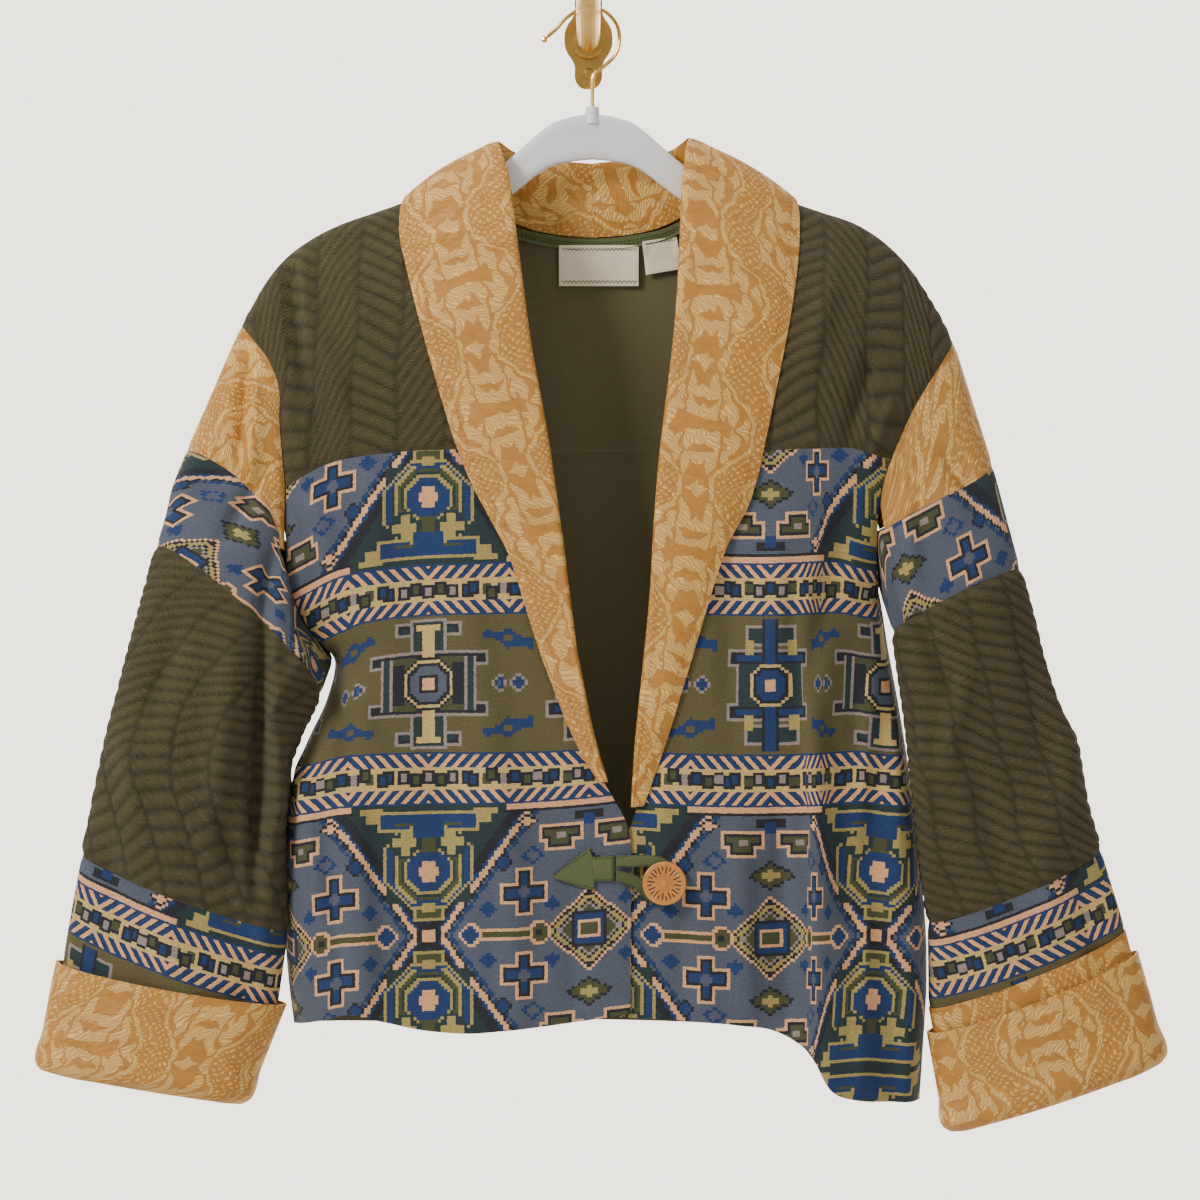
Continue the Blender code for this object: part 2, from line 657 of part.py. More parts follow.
class Surface:
    """The outer or inner side of some panels, read along Y, whichever way a face is split."""

    def __init__(self, grids, facing):
        points, faces = [], []
        for grid in grids:
            rows, columns = grid.shape[:2]
            base = len(points)
            points += [Vector(p) for p in grid.reshape(-1, 3)]
            for j in range(rows - 1):
                for i in range(columns - 1):
                    a = base + j * columns + i
                    b, c, d = a + 1, a + columns + 1, a + columns
                    faces += [(a, b, c), (a, c, d), (a, b, d), (b, c, d)]
        self.tree = BVHTree.FromPolygons(points, faces)
        self.facing = facing

    def hit(self, x, z):
        """y at (x, z), or None where there is no panel."""
        found = self.tree.ray_cast(Vector((x, 400 * self.facing, z)), Vector((0, -self.facing, 0)))[0]
        return None if found is None else found.y

    def depth(self, x, z):
        """y at (x, z), or that of the nearest point where there is no panel."""
        y = self.hit(x, z)
        if y is None:
            y = self.tree.find_nearest(Vector((x, HANG_PLANE_Y + self.facing * 20, z)))[0].y
        return y


def collar_half(name, outlines, yoke, body, back_yoke, neck_columns, sign):
    """One half of the shawl collar, from its point at the front to the centre back seam."""
    edge_front, edge_back, roll_front, roll_back = outlines
    front = Surface([yoke, body], -1)
    back = Surface([back_yoke], 1)
    stations = []
    rows_low = list(body[1 : len(NECK_ROWS_LOW)])
    rows = [*rows_low[::-1], *list(yoke)[::-1]]
    edge_line = smooth_curve(edge_front)
    for row in rows:
        seam = row[-1]
        stations.append(front_station(seam, row, edge_line, roll_front, front, sign))
    seams = at_fractions([p for p in back_yoke[0, neck_columns]], COLLAR_BACK_SEAM, smooth=False)
    edges = at_fractions(edge_back, COLLAR_BACK_EDGE)
    rolls = at_fractions(roll_back, COLLAR_BACK_SEAM)
    for seam, edge, roll in zip(seams, edges, rolls):
        stations.append(back_station(seam, edge, roll, back, sign, edge_back[0][1]))
    mid = np.array(stations)
    mid[0] = mid[0] + (mid[1] - mid[0]) * POINT_SHARE
    mid[-1, :, 0] = CENTRE_X + sign * SEAM_GAP / 2
    normals = own_normals(mid)
    half = COLLAR_WALL / 2
    return wall_from_layers(name, "damask", mid + normals * half, mid - normals * half, False)


def own_normals(grid):
    down = np.gradient(grid, axis=0)
    across = np.gradient(grid, axis=1)
    normal = np.cross(across, down)
    return normal / np.linalg.norm(normal, axis=2)[:, :, None]


def cross_edge(row, edge_line):
    """Where a panel's row line meets the collar's outer edge, seen from the front."""
    best = None
    for a, b in zip(row[:-1], row[1:]):
        for p, q in zip(edge_line[:-1], edge_line[1:]):
            r = np.array([b[0] - a[0], b[2] - a[2]])
            s = q - p
            cross = r[0] * s[1] - r[1] * s[0]
            if abs(cross) < 1e-9:
                continue
            d = p - np.array([a[0], a[2]])
            t = (d[0] * s[1] - d[1] * s[0]) / cross
            u = (d[0] * r[1] - d[1] * r[0]) / cross
            if -1e-6 <= t <= 1 + 1e-6 and -1e-6 <= u <= 1 + 1e-6:
                best = a + (b - a) * t
    if best is None:
        seam = row[-1]
        end = min((edge_line[0], edge_line[-1]), key=lambda p: abs(p[1] - seam[2]))
        best = np.array([end[0], seam[1], end[1]])
    return best


def front_station(seam, row, edge_line, roll_line, front, sign):
    """Stand, roll and fall of the collar at one row of the front."""
    edge = cross_edge(row, edge_line)
    drop = RIDGE_RIGHT[-1][1] - seam[2]
    roll_z = seam[2] + STAND_HEIGHT_AT_SHOULDER * (1 - smoothstep(drop / STAND_DROP))
    roll_x = float(np.interp(-roll_z, [-z for _, z in roll_line], [x for x, _ in roll_line]))
    swell = FALL_BULGE * min(1, abs(roll_x - edge[0]) / 70)
    return collar_section(seam, (roll_x, roll_z), edge, edge_line[0][1] - edge[2], front, -1, sign, swell)


def back_station(seam, edge, roll, back, sign, ridge_z):
    """The same round the back of the neck, where the fall hangs behind."""
    edge_point = np.array([edge[0], back.depth(edge[0], min(edge[1], ridge_z - 1)), edge[1]])
    return collar_section(seam, roll, edge_point, ridge_z - edge[1], back, 1, sign, BACK_FALL_BULGE)


def collar_section(seam, roll, edge, edge_drop, panel, facing, sign, swell):
    """Points from the neck seam up the stand, round the roll and down the fall."""
    over = 1 - smoothstep(edge_drop / RIDGE_REACH)
    turn = np.array([SHOULDER_TURN[0] * sign * over, facing * (1 - over), SHOULDER_TURN[1] * over])
    turn /= np.linalg.norm(turn)
    foot = seam - turn * WALL / 2
    top = np.array([roll[0], foot[1], roll[1]])
    rise = top - foot
    points = [
        foot + rise / np.linalg.norm(rise) * SEAM_GAP,
        foot + STAND_MIDDLE * rise,
        top + turn * ROLL_TURN,
        top - 0.1 * rise + 2 * turn * ROLL_TURN,
    ]
    gap = FALL_CLEARANCE + (RIDGE_CLEARANCE - FALL_CLEARANCE) * over
    start = points[-1]
    for t in FALL_SHARES:
        point = start + (edge + turn * gap - start) * t + turn * swell * math.sin(math.pi * t)
        if over < 0.98:
            hit = panel.hit(point[0], point[2])
            if hit is not None:
                limit = hit + facing * (gap + swell * math.sin(math.pi * t) * 0.5)
                point[1] = min(point[1], limit) if facing < 0 else max(point[1], limit)
        points.append(point)
    return points


def strip_wall(name, slot, rows, thick):
    """A strip of cloth whose rows are lists of points, thickened towards the front."""
    outer = np.array(rows, float)
    inner = outer - np.array([0, thick, 0])
    return wall_from_layers(name, slot, outer, inner, False)


def neck_tape(back_inner):
    line = at_fractions(BACK_NECKLINE, np.linspace(0.2, 0.8, 11))
    rows = []
    for drop in (1.0, NECK_TAPE_WIDTH / 2 + 1, NECK_TAPE_WIDTH + 1):
        rows.append([(x, back_inner.depth(x, z - drop) - SEAM_GAP, z - drop) for x, z in line])
    return strip_wall("neck_tape", "twill", rows, TAPE_WALL)


def label(name, corners, back_inner, lift):
    """A blank label, bowed to the back's inner side."""
    a, b, c, d = (np.array(p, float) for p in corners)
    rows = []
    for v in np.linspace(0, 1, 4):
        row = []
        for u in np.linspace(0, 1, 5):
            x, z = (1 - v) * ((1 - u) * a + u * b) + v * ((1 - u) * d + u * c)
            row.append((x, back_inner.depth(x, z) - lift, z))
        rows.append(row)
    return strip_wall(name, "label_cloth", rows, TAPE_WALL)


def plate_from_outline(name, slot, outline, y_back, thick):
    """An upright plate with a given outline, from y_back towards the viewer."""
    count = len(outline)
    points = [(x, y_back, z) for x, z in outline] + [(x, y_back - thick, z) for x, z in outline]
    faces = [tuple(range(count)), tuple(range(2 * count - 1, count - 1, -1))]
    faces += [(i, (i + 1) % count, count + (i + 1) % count, count + i) for i in range(count)]
    return make_object(name, slot, points, faces, smooth=False)


def closure(front_right, front_left):
    """Tab and loop, set on the right front's outer side. Returns the loop's back face."""
    tab_back = min(front_right.depth(x, z) for x, z in TAB_OUTLINE + TAB_MIDDLE) - SEAM_GAP
    plate_from_outline("loop_tab", "twill", TAB_OUTLINE, tab_back, TAB_THICK)
    path = smooth_curve(LOOP_PATH, 4)
    rows = []
    for i, (x, z) in enumerate(path):
        ahead = path[min(i + 1, len(path) - 1)] - path[max(i - 1, 0)]
        if i in (0, len(path) - 1):
            ahead[1] = 0
        side = np.array([-ahead[1], ahead[0]]) / np.linalg.norm(ahead) * LOOP_WIDTH / 2
        rows.append([(x - side[0], z - side[1]), (x + side[0], z + side[1])])
    edge_x = FRONT_EDGE_RIGHT[-1][0]
    sides = [p for row in rows for p in row]
    on_right = [front_right.depth(x, z) for x, z in sides if x < edge_x]
    on_left = [front_left.depth(x, z) for x, z in sides if x >= edge_x]
    loop_back = min(on_right + on_left) - SEAM_GAP
    strip_wall("button_loop", "twill", [[(x, loop_back, z) for x, z in row] for row in rows], LOOP_THICK)
    return loop_back


def turned(profile, sides):
    """A turned solid about +Z from (radius, height) pairs, closed at both ends."""
    points, faces = [], []
    for radius, height in profile:
        for k in range(sides):
            angle = 2 * math.pi * k / sides
            points.append((radius * math.cos(angle), radius * math.sin(angle), height))
    for r in range(len(profile) - 1):
        for k in range(sides):
            n = (k + 1) % sides
            faces.append((r * sides + k, r * sides + n, (r + 1) * sides + n, (r + 1) * sides + k))
    faces.append(tuple(range(sides))[::-1])
    last = (len(profile) - 1) * sides
    faces.append(tuple(range(last, last + sides)))
    return points, faces


def place(made, x, y, z, tilt):
    """Turns a solid made about +Z so that +Z points to the viewer, tilted up by tilt."""
    made.rotation_euler = (math.pi / 2 - tilt, 0, 0)
    made.location = (x * MM, y * MM, z * MM)


def button(loop_back, panel):
    """Carved disc on a shank that stands on the left front."""
    x, z = BUTTON_CENTRE
    back = loop_back - LOOP_THICK - SEAM_GAP
    reach = SHANK_RADIUS + 0.5
    around = [(0, 0), (reach, 0), (-reach, 0), (0, reach), (0, -reach)]
    foot = min(panel.depth(x + dx, z + dz) for dx, dz in around) - SEAM_GAP
    shank = foot - back
    profile = [
        (SHANK_RADIUS, 0),
        (SHANK_RADIUS, shank),
        (BUTTON_RADIUS - 3, shank),
        (BUTTON_RADIUS, shank + 1.8),
        (BUTTON_RADIUS, shank + 3.2),
        (BUTTON_RADIUS - 2, shank + BUTTON_THICK),
        (6.0, shank + BUTTON_THICK - 0.9),
        (3.2, shank + BUTTON_THICK - 0.5),
        (1.8, shank + BUTTON_THICK + 0.3),
    ]
    made = make_object("button", "button_wood", *turned(profile, 24))
    place(made, x, foot, z, 0)


# Hanger and wall hook


def hanger():
    """Arched hanger: rounded sections from arm tip to arm tip, and a bored stub on top."""
    stations = [(HANGER_X - s[0], *s[1:]) for s in HANGER_RIGHT[:0:-1]]
    stations += [(HANGER_X + s[0], *s[1:]) for s in HANGER_RIGHT]
    corners = 10
    points, faces = [], []
    for x, top, bottom, half_thick in stations:
        middle, half = (top + bottom) / 2, (top - bottom) / 2
        for k in range(corners):
            angle = 2 * math.pi * k / corners
            across = math.copysign(abs(math.cos(angle)) ** 0.6, math.cos(angle))
            up = math.copysign(abs(math.sin(angle)) ** 0.8, math.sin(angle))
            points.append((x, HANG_PLANE_Y + half_thick * across, middle + half * up))
    for s in range(len(stations) - 1):
        for k in range(corners):
            n = (k + 1) % corners
            faces.append((s * corners + k, s * corners + n, (s + 1) * corners + n, (s + 1) * corners + k))
    faces.append(tuple(range(corners))[::-1])
    faces.append(tuple(range((len(stations) - 1) * corners, len(stations) * corners)))
    made = make_object("hanger", "hanger_plastic", points, faces)
    radius, top, bottom = HANGER_SOCKET
    stub = make_object("stub_guide", "hanger_plastic", *turned([(radius, bottom), (radius, top)], 16))
    stub.location = (HANGER_X * MM, HANG_PLANE_Y * MM, 0)
    bore_radius = WIRE_RADIUS + SEAM_GAP
    bore_profile = [(bore_radius, top - SOCKET_DEPTH), (bore_radius, top + 2)]
    bore = make_object("bore_guide", "brass", *turned(bore_profile, 12))
    bore.location = stub.location
    for guide, operation in ((stub, "UNION"), (bore, "DIFFERENCE")):
        guide.hide_render = True
        guide.display_type = "WIRE"
        modifier = made.modifiers.new(guide.name, "BOOLEAN")
        modifier.operation = operation
        modifier.object = guide
    return made


def tube(name, slot, path, radius, sides, end_scale=None):
    """A round tube along points, with each ring square to the path."""
    path = np.array(path, float)
    points, faces = [], []
    side_axis = np.array([0.0, 1.0, 0.0])
    scales = end_scale or [1.0] * len(path)
    for i, p in enumerate(path):
        ahead = path[min(i + 1, len(path) - 1)] - path[max(i - 1, 0)]
        ahead /= np.linalg.norm(ahead)
        other = np.cross(ahead, side_axis)
        other /= np.linalg.norm(other)
        for k in range(sides):
            angle = 2 * math.pi * k / sides
            points.append(p + radius * scales[i] * (math.cos(angle) * side_axis + math.sin(angle) * other))
    for i in range(len(path) - 1):
        for k in range(sides):
            n = (k + 1) % sides
            faces.append((i * sides + k, i * sides + n, (i + 1) * sides + n, (i + 1) * sides + k))
    faces.append(tuple(range(sides))[::-1])
    faces.append(tuple(range((len(path) - 1) * sides, len(path) * sides)))
    return make_object(name, slot, points, faces)


def hanger_hook():
    """Wire from the hanger's socket up and over the peg, to a ball at its end."""
    flat = smooth_curve(HOOK_PATH, 3)
    flat[0, 1] = HANGER_SOCKET[1] - SOCKET_DEPTH + SEAM_GAP
    path = [(x, HANG_PLANE_Y, z) for x, z in flat]
    scales = [1.0] * (len(path) - 1)
    end, before = np.array(path[-1]), np.array(path[-2])
    step = (end - before) / np.linalg.norm(end - before)
    ball = HOOK_BALL_RADIUS
    for along in (0.0, 0.5, 1.0, 1.5, 1.9):
        path.append(tuple(end + step * ball * (along + 0.3)))
        scales.append(math.sqrt(max(1 - (along - 1) ** 2, 0.1)) * ball / WIRE_RADIUS)
    scales.insert(len(scales) - 5, 1.0)
    tube("hanger_hook", "brass", path, WIRE_RADIUS, 8, scales)


def wall_plate():
    """Keyhole plate with a lobe above and below, its back on the wall."""
    half = smooth_curve(PLATE_HALF, 2)
    low_right = [(w, z) for z, w in half]
    up_right = [(w, -z) for z, w in half[-2::-1]]
    right = low_right + up_right
    outline = right + [(-x, z) for x, z in right[::-1]]
    made = plate_from_outline("wall_plate", "brass", outline, 0, PLATE_THICK)
    bevel = made.modifiers.new("edge", "BEVEL")
    bevel.width = 0.8 * MM
    bevel.segments = 1
    bevel.limit_method = "ANGLE"


def wall_peg():
    """Round boss on the plate with a peg that leans up towards the viewer."""
    base = -PLATE_THICK - SEAM_GAP
    boss_profile = [(BOSS_RADIUS, 0), (BOSS_RADIUS, BOSS_THICK - 1.5), (BOSS_RADIUS - 1.5, BOSS_THICK)]
    boss = make_object("wall_peg", "brass", *turned(boss_profile, 24))
    place(boss, 0, base, PEG_BASE_Z, 0)
    profile = [
        (PEG_RADIUS, 0),
        (PEG_RADIUS, PEG_LENGTH - 3),
        (PEG_RADIUS - 0.9, PEG_LENGTH - 0.9),
        (PEG_RADIUS - 3, PEG_LENGTH),
    ]
    rod = make_object("rod_guide", "brass", *turned(profile, 20))
    place(rod, 0, base - PEG_RADIUS * math.tan(PEG_ANGLE) - 0.5, PEG_BASE_Z, PEG_ANGLE)
    rod.hide_render = True
    rod.display_type = "WIRE"
    union = boss.modifiers.new("rod", "BOOLEAN")
    union.operation = "UNION"
    union.object = rod


def screws():
    shares = ((1, 0), (1, 0.6), (0.75, 1.7), (0.3, 2.1))
    profile = [(SCREW_RADIUS * share, height) for share, height in shares]
    for name, z in (("plate_screw_low", -SCREW_Z), ("plate_screw_high", SCREW_Z)):
        made = make_object(name, "brass", *turned(profile, 16))
        place(made, 0, -PLATE_THICK - SEAM_GAP, z, 0)


def away_from_hanger(point, _grid):
    return np.array([0, point[1] - HANG_PLANE_Y, 0])


def away_from_middle(point, grid):
    return point - grid[1].mean(axis=0)


def oriented(grid, outward):
    """Flips a grid's columns if its faces look the wrong way."""
    grid = np.array(grid, float)
    rows, columns = grid.shape[:2]
    j, i = 1, columns // 4
    normal = np.cross(grid[j, i + 1] - grid[j, i], grid[j - 1, i] - grid[j, i])
    if normal @ outward(grid[j, i], grid) > 0:
        return grid[:, ::-1].copy()
    return grid


def main():
    clear_scene()
    yoke_right, body_right = front_panels(
        RIDGE_RIGHT, ARMHOLE_RIGHT_HIGH, ARMHOLE_RIGHT_LOW, SIDE_RIGHT, YOKE_SEAM_RIGHT,
        NECKLINE_RIGHT_HIGH, NECKLINE_RIGHT_LOW, FRONT_EDGE_RIGHT, HEM_RIGHT, False,
    )
    yoke_left, body_left = front_panels(
        RIDGE_LEFT, ARMHOLE_LEFT_HIGH, ARMHOLE_LEFT_LOW, SIDE_LEFT, YOKE_SEAM_LEFT,
        NECKLINE_LEFT_HIGH, NECKLINE_LEFT_LOW, FRONT_EDGE_LEFT, HEM_LEFT, True,
    )
    back_yoke, back_body = back_panels()
    panels = {
        "front_yoke_right": (yoke_right, False, "matelasse"),
        "front_yoke_left": (yoke_left, False, "matelasse"),
        "front_body_right": (body_right, False, "kilim"),
        "front_body_left": (body_left, False, "kilim"),
        "back_yoke": (back_yoke, False, "matelasse"),
        "back_body": (back_body, False, "kilim"),
    }
    ring_right = armhole_ring(yoke_right, body_right, back_yoke, back_body, 0)
    ring_left = armhole_ring(yoke_left, body_left, back_yoke, back_body, -1)
    sleeves = (
        ("right", SLEEVE_RIGHT, CAP_SEAM_RIGHT, ring_right),
        ("left", SLEEVE_LEFT, CAP_SEAM_LEFT, ring_left),
    )
    for name, (grid, closed, slot) in panels.items():
        panels[name] = (oriented(grid, away_from_hanger), closed, slot)
    tubes = {}
    for side, table, seam, ring in sleeves:
        for piece, (grid, closed, slot) in sleeve_pieces(side, table, seam, ring).items():
            outward = away_from_middle if closed else away_from_hanger
            tubes[f"{piece}_{side}"] = (oriented(grid, outward), closed, slot)
    cloth_walls(panels, tubes)

    first = len(ACROSS) - 1
    middle = first + BACK_NECK_COLUMNS // 2
    last = first + BACK_NECK_COLUMNS
    collar_half(
        "collar_right", (COLLAR_EDGE_RIGHT, COLLAR_BACK_EDGE_RIGHT, FRONT_ROLL_RIGHT, COLLAR_ROLL_RIGHT),
        yoke_right, body_right, back_yoke, slice(first, middle + 1), -1,
    )
    collar_half(
        "collar_left", (COLLAR_EDGE_LEFT, COLLAR_BACK_EDGE_LEFT, FRONT_ROLL_LEFT, COLLAR_ROLL_LEFT),
        yoke_left, body_left, back_yoke, slice(last, middle - 1, -1), 1,
    )

    back_inner = Surface([back_yoke - np.array([0, WALL, 0])], -1)
    neck_tape(back_inner)
    label("main_label", MAIN_LABEL, back_inner, SEAM_GAP + TAPE_WALL + SEAM_GAP)
    label("care_label", CARE_LABEL, back_inner, SEAM_GAP + TAPE_WALL + SEAM_GAP)
    outer_left = Surface([body_left], -1)
    loop_back = closure(Surface([body_right], -1), outer_left)
    button(loop_back, outer_left)
    hanger()
    hanger_hook()
    wall_plate()
    wall_peg()
    screws()


main()
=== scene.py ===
"""Looks of the shawl collar jacket on its hanger and wall hook.

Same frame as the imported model: metres, +X to the viewer's right, +Z up, the front faces -Y.
The tables are in millimetres. The cloth follows the solids' own outlines, made finer, and gets
its small folds, quilting, seams and fabric coordinates here.
"""

import math

import bmesh
import bpy
import numpy as np
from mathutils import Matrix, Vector
from mathutils.bvhtree import BVHTree

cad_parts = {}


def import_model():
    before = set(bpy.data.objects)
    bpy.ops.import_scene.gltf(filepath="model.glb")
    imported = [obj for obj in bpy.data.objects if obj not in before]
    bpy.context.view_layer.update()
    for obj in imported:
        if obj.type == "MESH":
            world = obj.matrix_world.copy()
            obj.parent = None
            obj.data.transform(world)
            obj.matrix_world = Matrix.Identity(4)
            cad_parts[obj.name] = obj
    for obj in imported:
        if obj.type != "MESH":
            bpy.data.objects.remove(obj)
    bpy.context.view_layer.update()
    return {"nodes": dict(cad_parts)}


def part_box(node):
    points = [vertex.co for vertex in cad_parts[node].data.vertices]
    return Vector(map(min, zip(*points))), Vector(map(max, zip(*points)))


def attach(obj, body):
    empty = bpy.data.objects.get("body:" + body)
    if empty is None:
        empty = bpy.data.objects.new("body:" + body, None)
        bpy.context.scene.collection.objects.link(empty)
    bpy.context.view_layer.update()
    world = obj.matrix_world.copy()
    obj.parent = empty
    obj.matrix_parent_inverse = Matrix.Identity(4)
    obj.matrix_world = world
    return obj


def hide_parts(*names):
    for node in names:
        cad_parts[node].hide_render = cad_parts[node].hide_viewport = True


MM = 0.001
UV_UNIT = 1000.0  # millimetres of cloth in one UV unit

# Cloth
WALL = 2.0
COLLAR_WALL = 1.6
SEAM_GAP = 0.3
HANG_PLANE_Y = -42.0  # the hanger, the shoulder ridge and the side seams
FRONT_DEPTH = 46.0  # from the hang plane to the front panels
BACK_DEPTH = 28.0
RIDGE_ROUND = 110.0  # drop over which the shoulder falls away from the ridge
RIDGE_POWER = 0.7
SIDE_ROUND = 70.0
UNDERLAP = 3.8  # how far the left front lies behind the right one
UNDERLAP_REACH = (34.0, 70.0)
UNDERLAP_TOP = -560.0
UNDERLAP_DROP = 60.0
FOLD_FADE = 12.0  # how sharply a fold runs out at its ends
FOLD_END = 1.05  # where it has half run out, as a share of its length
SMALL_FADE = 9.0  # the same for the small folds, which end at their own length
FOLD_INSET = 30.0  # folds run out over this distance from a panel's border

# Outlines seen from the front, as (x, z)
RIDGE_RIGHT = [
    (-282, -238), (-275, -224), (-258, -196), (-238, -176), (-206, -157), (-150, -137), (-100, -115),
]
RIDGE_LEFT = [(297, -252), (283, -224), (256, -184), (220, -156), (168, -138), (107, -112)]
ARMHOLE_RIGHT_HIGH = [(-282, -238), (-262, -261), (-250, -284), (-248, -318), (-243, -370)]
ARMHOLE_RIGHT_LOW = [(-243, -370), (-243, -416), (-240, -449), (-230, -476), (-207, -509)]
ARMHOLE_LEFT_HIGH = [(297, -252), (279, -279), (260, -310), (243, -348)]
ARMHOLE_LEFT_LOW = [(243, -348), (235, -374), (233, -404), (233, -430), (237, -455)]
SIDE_RIGHT = [
    (-207, -509), (-213, -540), (-229, -575), (-246, -625), (-249, -693), (-245, -762), (-240, -804),
]
SIDE_LEFT = [(237, -455), (243, -492), (252, -540), (263, -610), (270, -672), (276, -756), (270, -866)]
YOKE_SEAM_RIGHT = [(-243, -370), (-226, -360), (-201, -349), (-151, -342), (-106, -340), (-39, -338)]
YOKE_SEAM_LEFT = [(243, -348), (228, -344), (211, -339), (142, -340), (66, -338)]
NECKLINE_RIGHT_HIGH = [(-100, -115), (-82, -145), (-68, -185), (-54, -252), (-39, -338)]
NECKLINE_RIGHT_LOW = [(-39, -338), (-27, -421), (-17, -501), (-3, -573), (14, -609)]
NECKLINE_LEFT_HIGH = [(107, -112), (95, -145), (86, -185), (79, -235), (66, -338)]
NECKLINE_LEFT_LOW = [(66, -338), (62, -381), (57, -461), (46, -573), (38, -630)]
FRONT_EDGE_RIGHT = [(14, -609), (20, -620), (34, -651), (34, -701), (34, -792)]
FRONT_EDGE_LEFT = [(38, -630), (32, -651), (22, -669), (19, -690), (19, -795)]
HEM_RIGHT = [(-240, -804), (-208, -797), (-184, -793), (-156, -801), (-105, -808), (-34, -802), (34, -792)]
HEM_LEFT = [(270, -866), (211, -861), (190, -848), (171, -818), (139, -804), (65, -797), (19, -795)]
BACK_NECKLINE = [
    (-100, -115), (-84, -138), (-62, -154), (-31, -162), (3, -165),
    (38, -162), (69, -154), (91, -138), (107, -112),
]
BACK_YOKE_SEAM = [(-243, -370), (-150, -345), (3, -340), (150, -340), (243, -348)]
BACK_HEM = [(-240, -804), (-120, -806), (3, -804), (150, -812), (220, -845), (270, -866)]

# Collar: outer edge as (x, z) down each front, and round the back to the centre seam
COLLAR_EDGE_RIGHT = [
    (-146, -138), (-151, -152), (-151, -172), (-131, -252), (-107, -333),
    (-87, -381), (-65, -421), (-39, -501), (-11, -573), (10, -609),
]
COLLAR_EDGE_LEFT = [
    (165, -139), (169, -152), (170, -172), (163, -228), (142, -333),
    (130, -381), (110, -421), (85, -501), (63, -573), (43, -630),
]
COLLAR_BACK_EDGE_RIGHT = [
    (-146, -138), (-148, -150), (-143, -166), (-123, -182), (-89, -191), (-44, -196), (3, -197),
]
COLLAR_BACK_EDGE_LEFT = [
    (165, -139), (162, -152), (154, -168), (133, -184), (96, -192), (50, -196), (3, -197),
]
COLLAR_ROLL_RIGHT = [(-72, -89), (-62, -95), (-40, -101), (3, -104)]
COLLAR_ROLL_LEFT = [(80, -87), (68, -94), (46, -100), (3, -104)]
FRONT_ROLL_RIGHT = [
    (-72, -89), (-64, -120), (-62, -140), (-57, -172), (-46, -252),
    (-31, -338), (-19, -421), (-9, -501), (5, -573), (17, -609),
]
FRONT_ROLL_LEFT = [
    (80, -87), (76, -120), (75, -144), (74, -172), (70, -235),
    (58, -338), (54, -381), (49, -461), (38, -573), (34, -630),
]
COLLAR_BACK_SEAM = (0.06, 0.15, 0.27, 0.42, 0.6, 0.8, 1)
COLLAR_BACK_EDGE = (0.05, 0.12, 0.22, 0.36, 0.55, 0.78, 1)
STAND_HEIGHT_AT_SHOULDER = 25.0
STAND_DROP = 85.0  # over which the stand's height runs out down the front
FALL_CLEARANCE = 2.4  # from the panel to the middle of the collar's fall
RIDGE_CLEARANCE = 5.0
FALL_BULGE = 4.0
BACK_FALL_BULGE = 1.0
RIDGE_REACH = 30.0  # drop over which the collar turns from the ridge to a panel
FALL_SHARES = (0.2, 0.45, 0.72, 1.0)
ROLL_TURN = 2.3  # half the distance between the collar's two layers at its roll
SHOULDER_TURN = (0.6, 0.8)  # the collar's direction off the cloth over the shoulder, out and up
STAND_MIDDLE = 0.55
POINT_SHARE = 0.12  # how much the collar's point is drawn up towards its next section
CENTRE_X = 3.0  # centre back

# Places of the grid lines, as fractions of each outline's length
YOKE_ROWS = (0, 0.035, 0.12, 0.26, 0.44, 0.63, 0.82, 1)
ARMHOLE_ROWS = (0, 0.17, 0.34, 0.55, 0.75, 0.91, 1)
SIDE_ROWS = tuple(i / 9 for i in range(10))
NECK_ROWS_LOW = tuple(i / 10 for i in range(11))
EDGE_ROWS = tuple(i / 5 for i in range(6))
ACROSS = (0, 0.035, 0.1, 0.18, 0.28, 0.4, 0.52, 0.64, 0.76, 0.88, 1)
BACK_NECK_COLUMNS = 8
CAP_ROW = 9  # the row of the armhole where the gold cap ends
CAP_END_SHARE = 0.55  # how far the cap's lower seam has left the armhole's depth for the band's

# Armhole tube, half depths to the front and to the back of the hang plane
ARMHOLE_FRONT = 37.0
ARMHOLE_BACK = 25.0

# Sleeve rings: outer edge, inner edge, middle y, half depth, bow of the front seam
SLEEVE_RIGHT = {
    "band": (-348, -418, -215, -536, -70, 27, 14),
    "upper": (-373, -512, -232, -572, -68, 27, 6),
    "elbow": (-388, -570, -247, -616, -65, 27, 0),
    "lower": (-399, -620, -246, -672, -63, 27, 0),
    "border": (-409, -666, -242, -727, -60, 26, -6),
    "cuff": (-424, -753, -249, -785, -60, 25, -4),
    "end": (-440, -836, -280, -863, -60, 24, 0),
}
SLEEVE_LEFT = {
    "band": (348, -436, 245, -486, -70, 27, 6),
    "upper": (371, -518, 255, -556, -68, 27, 2),
    "elbow": (397, -600, 262, -618, -65, 27, 0),
    "lower": (404, -630, 267, -668, -63, 27, 0),
    "border": (414, -662, 274, -720, -60, 26, -7),
    "cuff": (438, -745, 279, -808, -60, 25, -6),
    "end": (461, -829, 293, -885, -60, 24, -3),
}
CAP_SEAM_RIGHT = [(-324, -339), (-294, -353), (-268, -374), (-253, -389), (-246, -418)]
CAP_SEAM_LEFT = [(327, -352), (314, -363), (273, -384), (237, -404)]
CUFF_LAYER = 4.6  # from the sleeve's surface to the turned-back layer
BORDER_UNDER_CUFF = {"right": 9.0, "left": -19.0}  # how far the border reaches below the cuff's top

